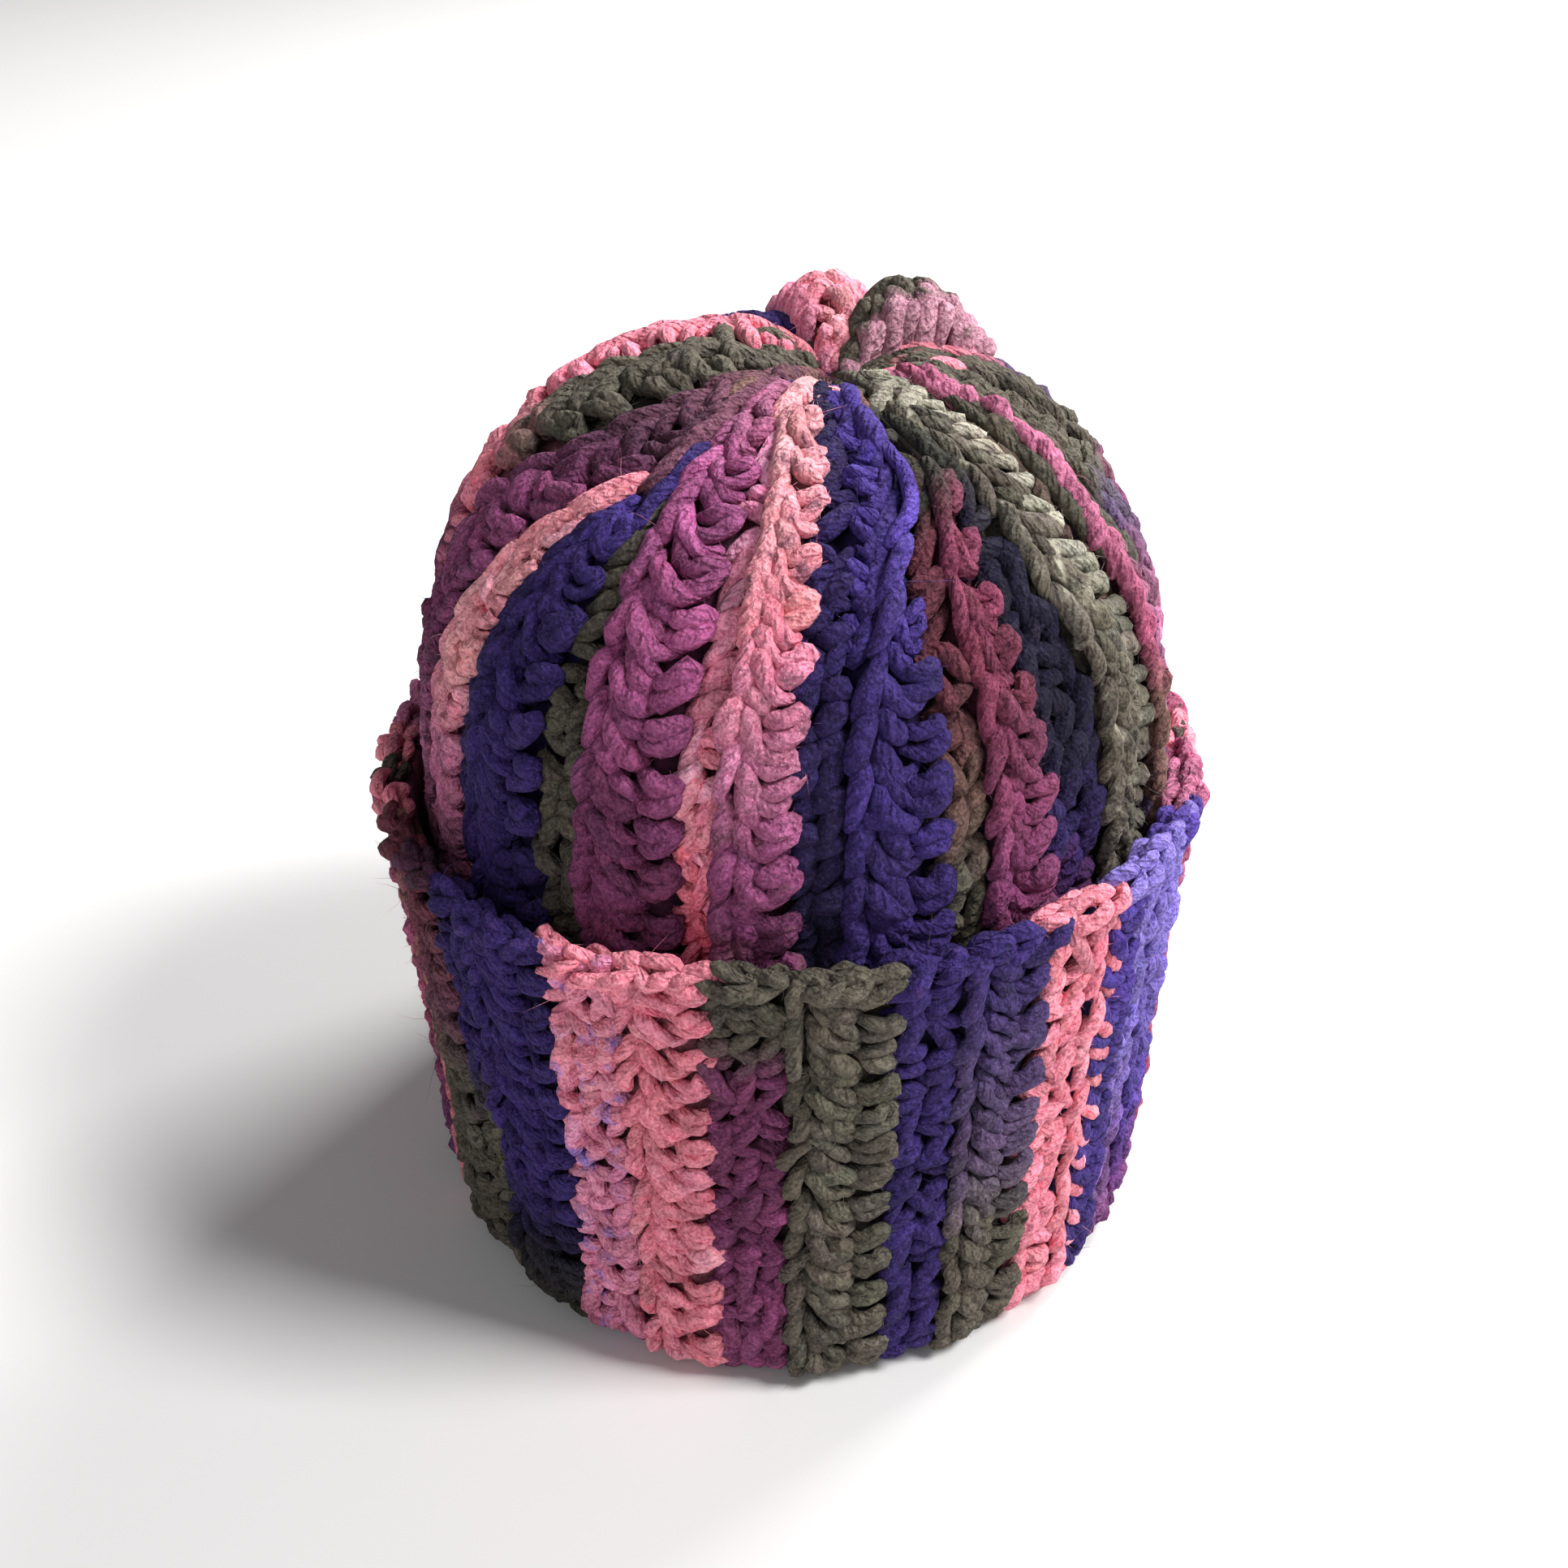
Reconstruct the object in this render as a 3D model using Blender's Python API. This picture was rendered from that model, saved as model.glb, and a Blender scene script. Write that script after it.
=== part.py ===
# A chunky ribbed beanie, worked sideways in thick yarn: the crown is drawn together on top,
# where two back ribs pucker up, and its lower edge is folded outwards into a deep cuff.
# It stands on its fold, +Z up, with the front towards -Y. Lengths are in metres, and angles
# are in degrees round from the front, growing towards +X.

import bpy
import bmesh
import numpy as np

# The crown, measured over the tops of its ribs
CROWN_HALF_WIDTH = 0.0947
CROWN_HALF_DEPTH = 0.1050
SIDE_HEIGHT = 0.1240
DOME_HEIGHT = 0.0970
DOME_BULGE = 2.5
DIMPLE_DEPTH = 0.0080
DIMPLE_SHARE = 0.30
DIMPLE_CURVE = 1.5
GATHER_X = 0.0100
GATHER_Y = 0.0060
GATHER_DRIFT = 1.3
RIB_DEPTH = 0.0085
HIDDEN_RIB_DEPTH = 0.0030
GROOVE_SHARE = 0.33
CROWN_FABRIC = 0.0042

# The layer inside the cuff, where it reaches the fold
RIM_HALF_WIDTH = 0.0878
RIM_HALF_DEPTH = 0.1052

# The cuff and the fold that it starts from
CUFF_HEIGHT = 0.1210
CUFF_FABRIC = 0.0045
CUFF_RIB_DEPTH = 0.0055
CUFF_FLARE = 0.0060
EDGE_WAVE = 0.0030
EDGE_MIDDLE = 0.50
FOLD_LIP_HEIGHT = 0.0100
FOLD_ROUND = 0.0050

# The puckers stand this far over the crown at their highest
LEFT_PUCKER_HEIGHT = 0.0090
RIGHT_PUCKER_HEIGHT = 0.0100

CLEARANCE = 0.0003

# Each crown rib: the angle of its left edge where the dome starts, on the shoulder, higher up
# and at the gather, the share of its pitch that the ridge takes, and how far the ridge stands
# over the dome, as a share of the rib depth. The rest of the pitch is the groove.
CROWN_RIBS = (
    # foot, shoulder, upper, gather, ridge share, lift
    (-80.0, -80.0, -64.0, -55.0, 0.85, 0.00),
    (-70.0, -57.0, -34.0, -30.0, 0.75, -0.10),
    (-56.0, -46.0, -32.0, -28.0, 0.65, -0.05),
    (-32.0, -30.5, -30.0, -26.0, 0.72, 0.05),
    (-11.0, -8.0, -8.0, -14.0, 0.55, 0.10),
    (7.0, 8.0, 12.0, 3.0, 0.65, 0.00),
    (29.0, 26.0, 31.0, 20.0, 0.40, -0.20),
    (54.0, 41.0, 38.0, 23.0, 0.70, 0.10),
    (71.0, 61.0, 57.0, 54.0, 0.65, -0.10),
    (82.0, 72.0, 67.0, 66.0, 0.60, 0.10),
    (98.0, 94.0, 90.0, 84.0, 0.60, 0.00),
    (116.0, 112.0, 106.0, 104.0, 0.60, 0.00),
    (133.0, 130.0, 128.0, 126.0, 0.60, 0.00),
    (150.0, 149.0, 150.0, 148.0, 0.60, 0.00),
    (168.0, 167.0, 166.0, 164.0, 0.60, 0.00),
    (186.0, 184.0, 178.0, 177.0, 0.60, 0.00),
    (203.0, 201.0, 190.0, 186.0, 0.60, 0.00),
    (221.0, 218.0, 204.0, 198.0, 0.65, 0.25),
    (238.0, 238.0, 225.0, 212.0, 0.70, 0.45),
    (258.0, 258.0, 258.0, 244.0, 0.75, 0.20),
)
# Where those four angles hold, as shares of the dome's width
RIB_LEVELS = (1.00, 0.80, 0.55, 0.25)

# Each cuff rib: the angle of its left edge and the share of its pitch that the ridge takes
CUFF_RIBS = (
    # left edge, ridge share
    (-46.5, 0.58),
    (-22.5, 0.53),
    (-1.0, 0.60),
    (21.5, 0.60),
    (42.0, 0.62),
    (59.0, 0.60),
    (77.0, 0.60),
    (95.0, 0.60),
    (114.0, 0.60),
    (132.0, 0.60),
    (151.0, 0.60),
    (169.0, 0.60),
    (187.0, 0.60),
    (206.0, 0.60),
    (224.0, 0.60),
    (242.0, 0.60),
    (260.0, 0.60),
    (278.0, 0.60),
    (296.0, 0.60),
)

# The cuff's loose upper edge round the head: how far it leans out and how far it rises
CUFF_EDGE = (
    # angle, share of the flare, share of the wave
    (-180.0, 0.50, 0.30),
    (-130.0, 0.25, -0.30),
    (-95.0, 0.30, 0.40),
    (-75.0, 0.60, 0.40),
    (-55.0, 0.80, 0.00),
    (-38.0, 0.75, -0.80),
    (-12.0, 0.40, 0.00),
    (15.0, 0.35, 0.10),
    (36.0, 0.35, 0.70),
    (62.0, 0.30, 0.40),
    (95.0, 0.15, -0.20),
    (135.0, 0.30, 0.40),
)

# Rows up the crown's side, as shares of the side's height above the fold's lip
SIDE_ROWS = (0.00, 0.28, 0.58, 0.84, 1.00)
# Rows over the dome, as shares of its width, for the outer and the inner face
DOME_ROWS = (0.975, 0.93, 0.87, 0.79, 0.70, 0.60, 0.50, 0.40, 0.31, 0.23, 0.16, 0.10, 0.05)
INNER_SIDE_ROWS = (0.00, 0.50, 1.00)
INNER_DOME_ROWS = (0.96, 0.87, 0.73, 0.55, 0.34, 0.15)
# Rows up the cuff's outer and inner faces, as shares of its height
CUFF_OUTER_ROWS = (0.97, 0.80, 0.55, 0.30)
CUFF_INNER_ROWS = (0.35, 0.70, 0.98)
# The rounding under the fold, as shares of its radius
FOLD_OUTER_ROWS = (
    # inwards, height
    (0.0, 1.6),
    (0.3, 0.4),
    (1.0, 0.0),
)
FOLD_INNER_ROWS = (
    # inwards, height
    (1.0, 0.0),
    (0.3, 0.4),
    (0.0, 1.0),
)

# Each pucker: rows out from the gather, each with its two side angles and its height
LEFT_PUCKER_ROWS = (
    # share of the dome's width, left angle, right angle, share of the height
    (0.05, 158.0, 184.0, 0.00),
    (0.10, 154.0, 191.0, 0.45),
    (0.16, 154.0, 195.0, 0.75),
    (0.23, 155.0, 196.0, 0.95),
    (0.31, 156.5, 196.0, 1.00),
    (0.40, 158.5, 195.0, 0.80),
    (0.50, 163.0, 191.0, 0.35),
    (0.60, 170.0, 184.0, 0.00),
)
RIGHT_PUCKER_ROWS = (
    # share of the dome's width, left angle, right angle, share of the height
    (0.05, 110.0, 146.0, 0.00),
    (0.10, 106.0, 149.0, 0.40),
    (0.16, 104.0, 150.0, 0.72),
    (0.23, 102.0, 150.5, 0.92),
    (0.31, 101.0, 151.0, 1.00),
    (0.40, 102.5, 150.0, 0.85),
    (0.50, 108.0, 146.0, 0.40),
    (0.60, 118.0, 138.0, 0.00),
)
PUCKER_COLUMNS = 10
PUCKER_ROUNDNESS = 2.6

# Each rib has five columns: its left edge, the two sides of its crest, its right edge and the
# middle of the groove, which swells a little
CREST_SHARE = 0.25
GROOVE_BUMP = 0.18


def rib_columns(left_edges, ridge_shares, lifts=None):
    """The angles of all columns round the object and their relief, 0 in a groove to 1 on a rib."""
    angles, relief = [], []
    next_edges = np.append(left_edges[1:], left_edges[0] + 360.0)
    lifts = np.zeros(len(ridge_shares)) if lifts is None else lifts
    for left, right, ridge, lift in zip(left_edges, next_edges, ridge_shares, lifts):
        places = (0.0, CREST_SHARE * ridge, (1 - CREST_SHARE) * ridge, ridge, (1 + ridge) / 2)
        angles += [left + (right - left) * place for place in places]
        relief += [0.0, 1.0 + lift, 1.0 + lift, 0.0, GROOVE_BUMP]
    return np.array(angles), np.array(relief)


def crown_edges(share):
    """The left edge of each crown rib, in degrees, at this share of the dome's width."""
    return np.array([np.interp(share, RIB_LEVELS[::-1], row[3::-1]) for row in CROWN_RIBS])


def unit(angles):
    """The horizontal direction of each angle, as X and Y."""
    turn = np.radians(angles)
    return np.stack([np.sin(turn), -np.cos(turn)], axis=-1)


def side_section(share):
    """Half width, half depth, height and outward slope of the crown's side, over its ribs."""
    low = np.array([RIM_HALF_WIDTH, RIM_HALF_DEPTH, FOLD_LIP_HEIGHT + CLEARANCE])
    high = np.array([CROWN_HALF_WIDTH, CROWN_HALF_DEPTH, SIDE_HEIGHT])
    return (*(low + (high - low) * share), 1.0, 0.0)


def dome_section(share):
    """Half width, half depth, height and outward slope of the dome, over its ribs."""
    height = SIDE_HEIGHT + DOME_HEIGHT * (1 - share**DOME_BULGE) ** (1 / DOME_BULGE)
    height -= DIMPLE_DEPTH * max(0.0, 1 - share / DIMPLE_SHARE) ** DIMPLE_CURVE
    up = np.sqrt(max(0.0, 1 - share**DOME_BULGE))
    return CROWN_HALF_WIDTH * share, CROWN_HALF_DEPTH * share, height, np.sqrt(1 - up**2), up


def gather_centre(share):
    """Where the rings of the dome are centred: they drift towards the gather."""
    return np.array([GATHER_X, GATHER_Y]) * (1 - share) ** GATHER_DRIFT


def ring(section, angles, depth, centre=(0.0, 0.0)):
    """Points round one level, sunk by depth under the tops of the ribs."""
    half_width, half_depth, height, outwards, up = section
    ways = unit(angles)
    flat = ways * np.array([half_width, half_depth]) - ways * (depth * outwards)[:, None]
    return np.column_stack([flat + np.array(centre), height - depth * up])


def crown_rows():
    """The crown's rings: inner face downwards, lower edge, outer face upwards."""
    edges = crown_edges(1.0)
    shares = [row[4] for row in CROWN_RIBS]
    lift_shares = np.array([row[5] for row in CROWN_RIBS])
    rows = []
    for share in INNER_DOME_ROWS[::-1]:
        angles, _ = rib_columns(crown_edges(share), shares)
        depth = np.full(len(angles), RIB_DEPTH + CROWN_FABRIC)
        depth -= DIMPLE_DEPTH / 2 * max(0.0, 1 - share / DIMPLE_SHARE)
        rows.append(ring(dome_section(share), angles, depth, gather_centre(share)))
    angles, relief = rib_columns(edges, shares)
    for share in INNER_SIDE_ROWS[::-1]:
        depth = CROWN_FABRIC + HIDDEN_RIB_DEPTH + (RIB_DEPTH - HIDDEN_RIB_DEPTH) * share
        rows.append(ring(side_section(share), angles, np.full(len(angles), depth)))
    for share in SIDE_ROWS:
        depth = HIDDEN_RIB_DEPTH + (RIB_DEPTH - HIDDEN_RIB_DEPTH) * share
        rows.append(ring(side_section(share), angles, (1 - relief) * depth))
    for share in DOME_ROWS:
        lifts = lift_shares * min(1.0, (1 - share) / (1 - RIB_LEVELS[1]))
        angles, relief = rib_columns(crown_edges(share), shares, lifts)
        pitch = np.radians(360 / len(CROWN_RIBS)) * CROWN_HALF_WIDTH * share
        depth = min(RIB_DEPTH, pitch * GROOVE_SHARE)
        rows.append(ring(dome_section(share), angles, (1 - relief) * depth, gather_centre(share)))
    return rows


def cuff_edge(angles):
    """How far the cuff's top edge leans out and rises at each angle."""
    table = np.array(CUFF_EDGE)
    lean = np.interp(angles, table[:, 0], table[:, 1], period=360) * CUFF_FLARE
    rise = np.interp(angles, table[:, 0], table[:, 2], period=360) * EDGE_WAVE
    return lean, rise


def cuff_ring(share, angles, outset):
    """Points of the cuff at a share of its height, this far outside its inner face."""
    lean, rise = cuff_edge(angles)
    heights = share * (CUFF_HEIGHT + rise * share)
    side = (heights - FOLD_LIP_HEIGHT) / (SIDE_HEIGHT - FOLD_LIP_HEIGHT)
    half_width = RIM_HALF_WIDTH + (CROWN_HALF_WIDTH - RIM_HALF_WIDTH) * side
    half_depth = RIM_HALF_DEPTH + (CROWN_HALF_DEPTH - RIM_HALF_DEPTH) * side
    reach = CLEARANCE + lean * share**2 + outset
    flat = unit(angles) * (np.column_stack([half_width, half_depth]) + reach[:, None])
    return np.column_stack([flat, heights])


def fold_ring(outset, height, angles, relief):
    """Points of the fold at one height, sunk between the ribs on its outer side."""
    sunk = (1 - relief) * CUFF_RIB_DEPTH
    half_sizes = np.array([RIM_HALF_WIDTH, RIM_HALF_DEPTH]) + CLEARANCE
    flat = unit(angles) * (half_sizes + (outset - sunk)[:, None])
    return np.column_stack([flat, np.full(len(angles), height)])


def cuff_rows():
    """The cuff's rings: down the outer face, under the fold, over its lip, up the inner face."""
    angles, relief = rib_columns([row[0] for row in CUFF_RIBS], [row[1] for row in CUFF_RIBS])
    outer = CUFF_FABRIC + CUFF_RIB_DEPTH * relief
    inner = -(CLEARANCE + HIDDEN_RIB_DEPTH + CROWN_FABRIC)
    full = CUFF_FABRIC + CUFF_RIB_DEPTH
    level = np.ones(len(angles))
    rows = [cuff_ring(1.0, angles, outer * EDGE_MIDDLE)]
    rows += [cuff_ring(share, angles, outer) for share in CUFF_OUTER_ROWS]
    for inwards, height in FOLD_OUTER_ROWS:
        outset = full - inwards * (FOLD_ROUND + CUFF_RIB_DEPTH / 2)
        flat = level if height == 0 else relief
        rows.append(fold_ring(outset, height * FOLD_ROUND, angles, flat))
    for inwards, height in FOLD_INNER_ROWS:
        rows.append(fold_ring(inner + inwards * FOLD_ROUND, height * FOLD_ROUND, angles, level))
    rows.append(fold_ring(inner, FOLD_LIP_HEIGHT, angles, level))
    rows.append(fold_ring(0.0, FOLD_LIP_HEIGHT, angles, level))
    rows += [cuff_ring(share, angles, np.zeros(len(angles))) for share in CUFF_INNER_ROWS]
    return rows


def pucker_sheets(rows, height):
    """The lower and upper sheets of a pucker, which meet along their border."""
    across = np.linspace(-1, 1, PUCKER_COLUMNS + 1)
    dome = (1 - abs(across) ** PUCKER_ROUNDNESS) ** (1 / PUCKER_ROUNDNESS)
    lower, upper = [], []
    for share, left, right, rise in rows:
        angles = left + (right - left) * (across + 1) / 2
        section, centre = dome_section(share), gather_centre(share)
        seat = np.full(len(angles), -CLEARANCE)
        lower.append(ring(section, angles, seat, centre))
        upper.append(ring(section, angles, seat - height * rise * dome, centre))
    return lower, upper


def new_object(name, points, faces, colour, roughness):
    """A node from points and faces, with its faces turned out and its own material."""
    mesh = bpy.data.meshes.new(name)
    mesh.from_pydata(points, [], faces)
    shape = bmesh.new()
    shape.from_mesh(mesh)
    bmesh.ops.recalc_face_normals(shape, faces=shape.faces)
    shape.to_mesh(mesh)
    shape.free()
    mesh.shade_smooth()
    material = bpy.data.materials.new(name + "_yarn")
    material.use_nodes = True
    shader = material.node_tree.nodes["Principled BSDF"]
    shader.inputs["Base Color"].default_value = (*colour, 1.0)
    shader.inputs["Roughness"].default_value = roughness
    mesh.materials.append(material)
    obj = bpy.data.objects.new(name, mesh)
    bpy.context.scene.collection.objects.link(obj)
    return obj


def ring_faces(row_count, columns, closed):
    """Quads between neighbouring rings, and between the last and the first where closed."""
    faces = []
    for row in range(row_count if closed else row_count - 1):
        here, there = row * columns, (row + 1) % row_count * columns
        for column in range(columns):
            after = (column + 1) % columns
            faces.append((here + column, here + after, there + after, there + column))
    return faces


def make_crown():
    rows = crown_rows()
    columns = len(rows[0])
    points = [tuple(point) for row in rows for point in row]
    faces = ring_faces(len(rows), columns, closed=False)
    centre = gather_centre(0.0)
    outer_top = dome_section(0.0)[2]
    inner_top = outer_top - RIB_DEPTH - CROWN_FABRIC + DIMPLE_DEPTH / 2
    last = (len(rows) - 1) * columns
    for first, height in ((0, inner_top), (last, outer_top)):
        points.append((*centre, height))
        pole = len(points) - 1
        faces += [(first + c, first + (c + 1) % columns, pole) for c in range(columns)]
    return new_object("crown", points, faces, (0.30, 0.10, 0.22), 0.95)


def make_cuff():
    rows = cuff_rows()
    points = [tuple(point) for row in rows for point in row]
    faces = ring_faces(len(rows), len(rows[0]), closed=True)
    return new_object("folded_cuff", points, faces, (0.12, 0.09, 0.30), 0.95)


def make_pucker(name, rows, height, colour):
    """Two grids, sewn together by welding the border that they share."""
    lower, upper = pucker_sheets(rows, height)
    columns = PUCKER_COLUMNS + 1
    points, faces = [], []
    for sheet in (lower, upper):
        start = len(points)
        points += [tuple(point) for row in sheet for point in row]
        for row in range(len(sheet) - 1):
            for column in range(columns - 1):
                corner = start + row * columns + column
                faces.append((corner, corner + 1, corner + columns + 1, corner + columns))
    obj = new_object(name, points, faces, colour, 0.95)
    shape = bmesh.new()
    shape.from_mesh(obj.data)
    bmesh.ops.remove_doubles(shape, verts=shape.verts, dist=0.00001)
    bmesh.ops.recalc_face_normals(shape, faces=shape.faces)
    shape.to_mesh(obj.data)
    shape.free()
    return obj


for old in list(bpy.data.objects):
    bpy.data.objects.remove(old)
make_crown()
make_cuff()
make_pucker("gather_pucker_left", LEFT_PUCKER_ROWS, LEFT_PUCKER_HEIGHT, (0.75, 0.30, 0.28))
make_pucker("gather_pucker_right", RIGHT_PUCKER_ROWS, RIGHT_PUCKER_HEIGHT, (0.45, 0.20, 0.28))
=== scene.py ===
# A chunky crocheted beanie: ribs of thick roving yarn, a deep folded cuff and a gathered top.
# Lengths are in metres. Angles are in degrees round from the front (-Y), growing towards +X.
import math
import numpy as np
import bpy
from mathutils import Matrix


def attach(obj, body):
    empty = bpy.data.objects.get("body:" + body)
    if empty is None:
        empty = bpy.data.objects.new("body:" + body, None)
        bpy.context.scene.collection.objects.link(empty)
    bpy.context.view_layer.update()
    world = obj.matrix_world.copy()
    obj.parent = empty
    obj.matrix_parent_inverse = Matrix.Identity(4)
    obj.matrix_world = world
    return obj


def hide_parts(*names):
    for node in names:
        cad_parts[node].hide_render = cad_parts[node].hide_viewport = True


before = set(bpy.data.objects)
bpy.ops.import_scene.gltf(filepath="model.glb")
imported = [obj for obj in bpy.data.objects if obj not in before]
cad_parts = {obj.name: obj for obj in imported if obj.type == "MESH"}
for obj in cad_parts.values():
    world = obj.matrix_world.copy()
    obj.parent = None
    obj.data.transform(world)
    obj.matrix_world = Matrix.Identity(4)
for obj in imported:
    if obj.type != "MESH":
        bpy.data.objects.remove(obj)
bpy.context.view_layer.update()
dice = np.random.default_rng(11)  # one seeded source for every small irregularity
scene = bpy.context.scene

# wool colours, 0 to 255 as a screen shows them
wool = {
    "salmon": (244, 150, 166),
    "lightSalmon": (252, 176, 182),
    "deepSalmon": (216, 104, 126),
    "rose": (172, 86, 116),
    "pink": (190, 112, 142),
    "orchid": (160, 84, 130),
    "mauve": (180, 108, 142),
    "plum": (126, 62, 102),
    "blush": (228, 146, 174),
    "dustyMauve": (200, 148, 164),
    "plumBrown": (120, 74, 92),
    "darkPlum": (80, 44, 66),
    "brown": (124, 92, 84),
    "redBrown": (114, 58, 70),
    "wine": (126, 58, 82),
    "indigo": (56, 40, 104),
    "violet": (82, 62, 146),
    "lilac": (136, 120, 196),
    # navy: indigo darkened to near black, a painted shade, mostly in the deep grooves
    "navy": (28, 23, 50),
    "olive": (97, 91, 79),
    "darkOlive": (60, 57, 49),
    # sage: the olive yarn with a painted highlight, for its strands where light falls
    "sage": (164, 160, 142),
    "greyPlum": (94, 76, 106),
}


def linear(name):  # screen value c to light: ((c/255 + 0.055) / 1.055)^2.4, or c/255/12.92 near black
    c = np.array(wool[name]) / 255
    return np.where(c > 0.04045, ((c + 0.055) / 1.055) ** 2.4, c / 12.92)


def unitVectors(v):
    return v / np.maximum(np.linalg.norm(v, axis=-1, keepdims=True), 1e-12)


def outwards(angle):  # (sin a, -cos a): the horizontal way out at each angle
    turn = np.radians(angle)
    return np.sin(turn), -np.cos(turn)


# The crown's surface. "along" is the way up it: 0 where the dome starts, below that the straight
# side, and at the end the gather.
crown = {
    "halfWidth": 0.0947,
    "halfDepth": 0.1050,
    "rimHalfWidth": 0.0878,
    "rimHalfDepth": 0.1052,
    "footHeight": 0.0103,
    "sideHeight": 0.1240,
    "domeHeight": 0.0970,
    "bulge": 2.5,
    "dimple": 0.0080,
    "dimpleShare": 0.30,
    "dimpleCurve": 1.5,
    "gather": (0.0100, 0.0060),  # its place to the right and to the back
    "drift": 1.3,
    "ribWidth": 0.029,  # a rib this wide has its full height
    "ribScale": (0.22, 1.10),
    "liftHeight": 0.0085,
    "liftFade": 0.20,
}
meanRadius = 0.098  # of the crown and the cuff, to turn widths into angles


def lengthAlong(a, b):  # up a profile from its first point: the sum of sqrt(da^2 + db^2)
    return np.append(0, np.cumsum(np.hypot(np.diff(a), np.diff(b))))


def crownSide(share):  # the straight side's half sizes and height, from its foot (0) to the dome (1)
    c = crown
    return (
        c["rimHalfWidth"] + (c["halfWidth"] - c["rimHalfWidth"]) * share,
        c["rimHalfDepth"] + (c["halfDepth"] - c["rimHalfDepth"]) * share,
        c["footHeight"] + (c["sideHeight"] - c["footHeight"]) * share,
    )


def crownProfile():
    # side: straight from rim to dome; dome: w = cos(b)^(2/n), z = side + H sin(b)^(2/n) - dimple
    c = crown
    sideRows, domeRows, domeLeft = 60, 500, 6
    up = np.linspace(0, 1, sideRows)[:-1]
    b = np.linspace(0, math.pi / 2, domeRows)[:-domeLeft]
    w = np.cos(b) ** (2 / c["bulge"])
    sideWide, sideDeep, sideHigh = crownSide(up)
    domeHigh = c["sideHeight"] + c["domeHeight"] * np.sin(b) ** (2 / c["bulge"])
    domeHigh -= c["dimple"] * np.maximum(0, 1 - w / c["dimpleShare"]) ** c["dimpleCurve"]
    rise = np.sqrt(np.maximum(0, 1 - w ** c["bulge"]))
    drift = (1 - w) ** c["drift"]
    none = np.zeros(len(up))
    table = {
        "wide": np.append(sideWide, c["halfWidth"] * w),
        "deep": np.append(sideDeep, c["halfDepth"] * w),
        "high": np.append(sideHigh, domeHigh),
        "share": np.append(np.ones(len(up)), w),
        "up": np.append(none, rise),
        "right": np.append(none, c["gather"][0] * drift),
        "back": np.append(none, c["gather"][1] * drift),
    }
    length = lengthAlong((table["wide"] + table["deep"]) / 2, table["high"])
    table["along"] = length - length[len(up)]
    return table


crownTable = crownProfile()
crownTop = crownTable["along"][-1]


def crownAt(angle, along, height):
    # centre + (wide sin a, -deep cos a, z) + height * normal
    t = crownTable
    get = lambda key: np.interp(along, t["along"], t[key])
    x, y = outwards(angle)
    up = get("up")
    out = np.sqrt(np.maximum(0, 1 - up**2))
    normal = np.stack([x * out, y * out, up + 0 * x], axis=-1)
    base = np.stack([
        get("right") + get("wide") * x,
        get("back") + get("deep") * y,
        get("high") + 0 * x,
    ], axis=-1)
    return base + normal * np.asarray(height)[..., None], unitVectors(normal)


# The cuff's surface. "along" is the way up its outer face from the middle of the flat underside.
cuff = {
    "height": 0.1210,
    "outset": 0.0100,  # how far its ribs stand out from the crown inside it
    "foldRound": 0.0090,
    "inside": -0.0072,
    "insideRound": 0.0050,
    "insideTop": 0.0300,
    "clear": 0.0003,
    "flare": 0.0060,
    "wave": 0.0030,
    "edge": [  # angle, share of the flare, share of the wave
        (-180, 0.50, 0.30), (-130, 0.25, -0.30), (-95, 0.30, 0.40), (-75, 0.60, 0.40),
        (-55, 0.80, 0.00), (-38, 0.75, -0.80), (-12, 0.40, 0.00), (15, 0.35, 0.10),
        (36, 0.35, 0.70), (62, 0.30, 0.40), (95, 0.15, -0.20), (135, 0.30, 0.40),
    ],
}


def cuffProfile():
    # up the inside, a quarter round, the flat underside, a quarter round, up the outer face
    c = cuff
    insideRows, outsideRows = 6, 40
    q = np.linspace(0, math.pi / 2, 16)
    ri, ro = c["insideRound"], c["foldRound"]
    outset = np.concatenate([
        np.full(insideRows, c["inside"]),
        c["inside"] + ri * (1 - np.cos(q)),
        c["outset"] - ro * (1 - np.sin(q)),
        np.full(outsideRows, c["outset"]),
    ])
    high = np.concatenate([
        np.linspace(c["insideTop"], ri, insideRows + 1)[:-1],
        ri * (1 - np.sin(q)),
        ro * (1 - np.cos(q)),
        np.linspace(ro, c["height"], outsideRows + 1)[1:],
    ])
    length = lengthAlong(outset, high)
    underside = insideRows + len(q)  # the row where the flat underside ends
    middle = (length[underside - 1] + length[underside]) / 2
    out = np.gradient(high, length)
    up = -np.gradient(outset, length)
    return {"along": length - middle, "outset": outset, "high": high, "out": out, "up": up}


cuffTable = cuffProfile()
cuffTop = cuffTable["along"][-1]


def cuffEdge(angle):  # lean and rise of the loose edge, eased between the table's angles
    rows = np.array(cuff["edge"], float)
    spread = np.arange(-180, 181)
    ease = 15  # degrees each way
    soft = np.hanning(2 * ease + 1)
    result = []
    for column, size in ((1, cuff["flare"]), (2, cuff["wave"])):
        line = np.interp(spread, rows[:, 0], rows[:, column], period=360)
        line = np.concatenate([line[-ease - 1:-1], line, line[1:ease + 1]])
        line = np.convolve(line, soft / soft.sum(), "valid")
        result.append(np.interp(angle, spread, line, period=360) * size)
    return result


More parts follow.
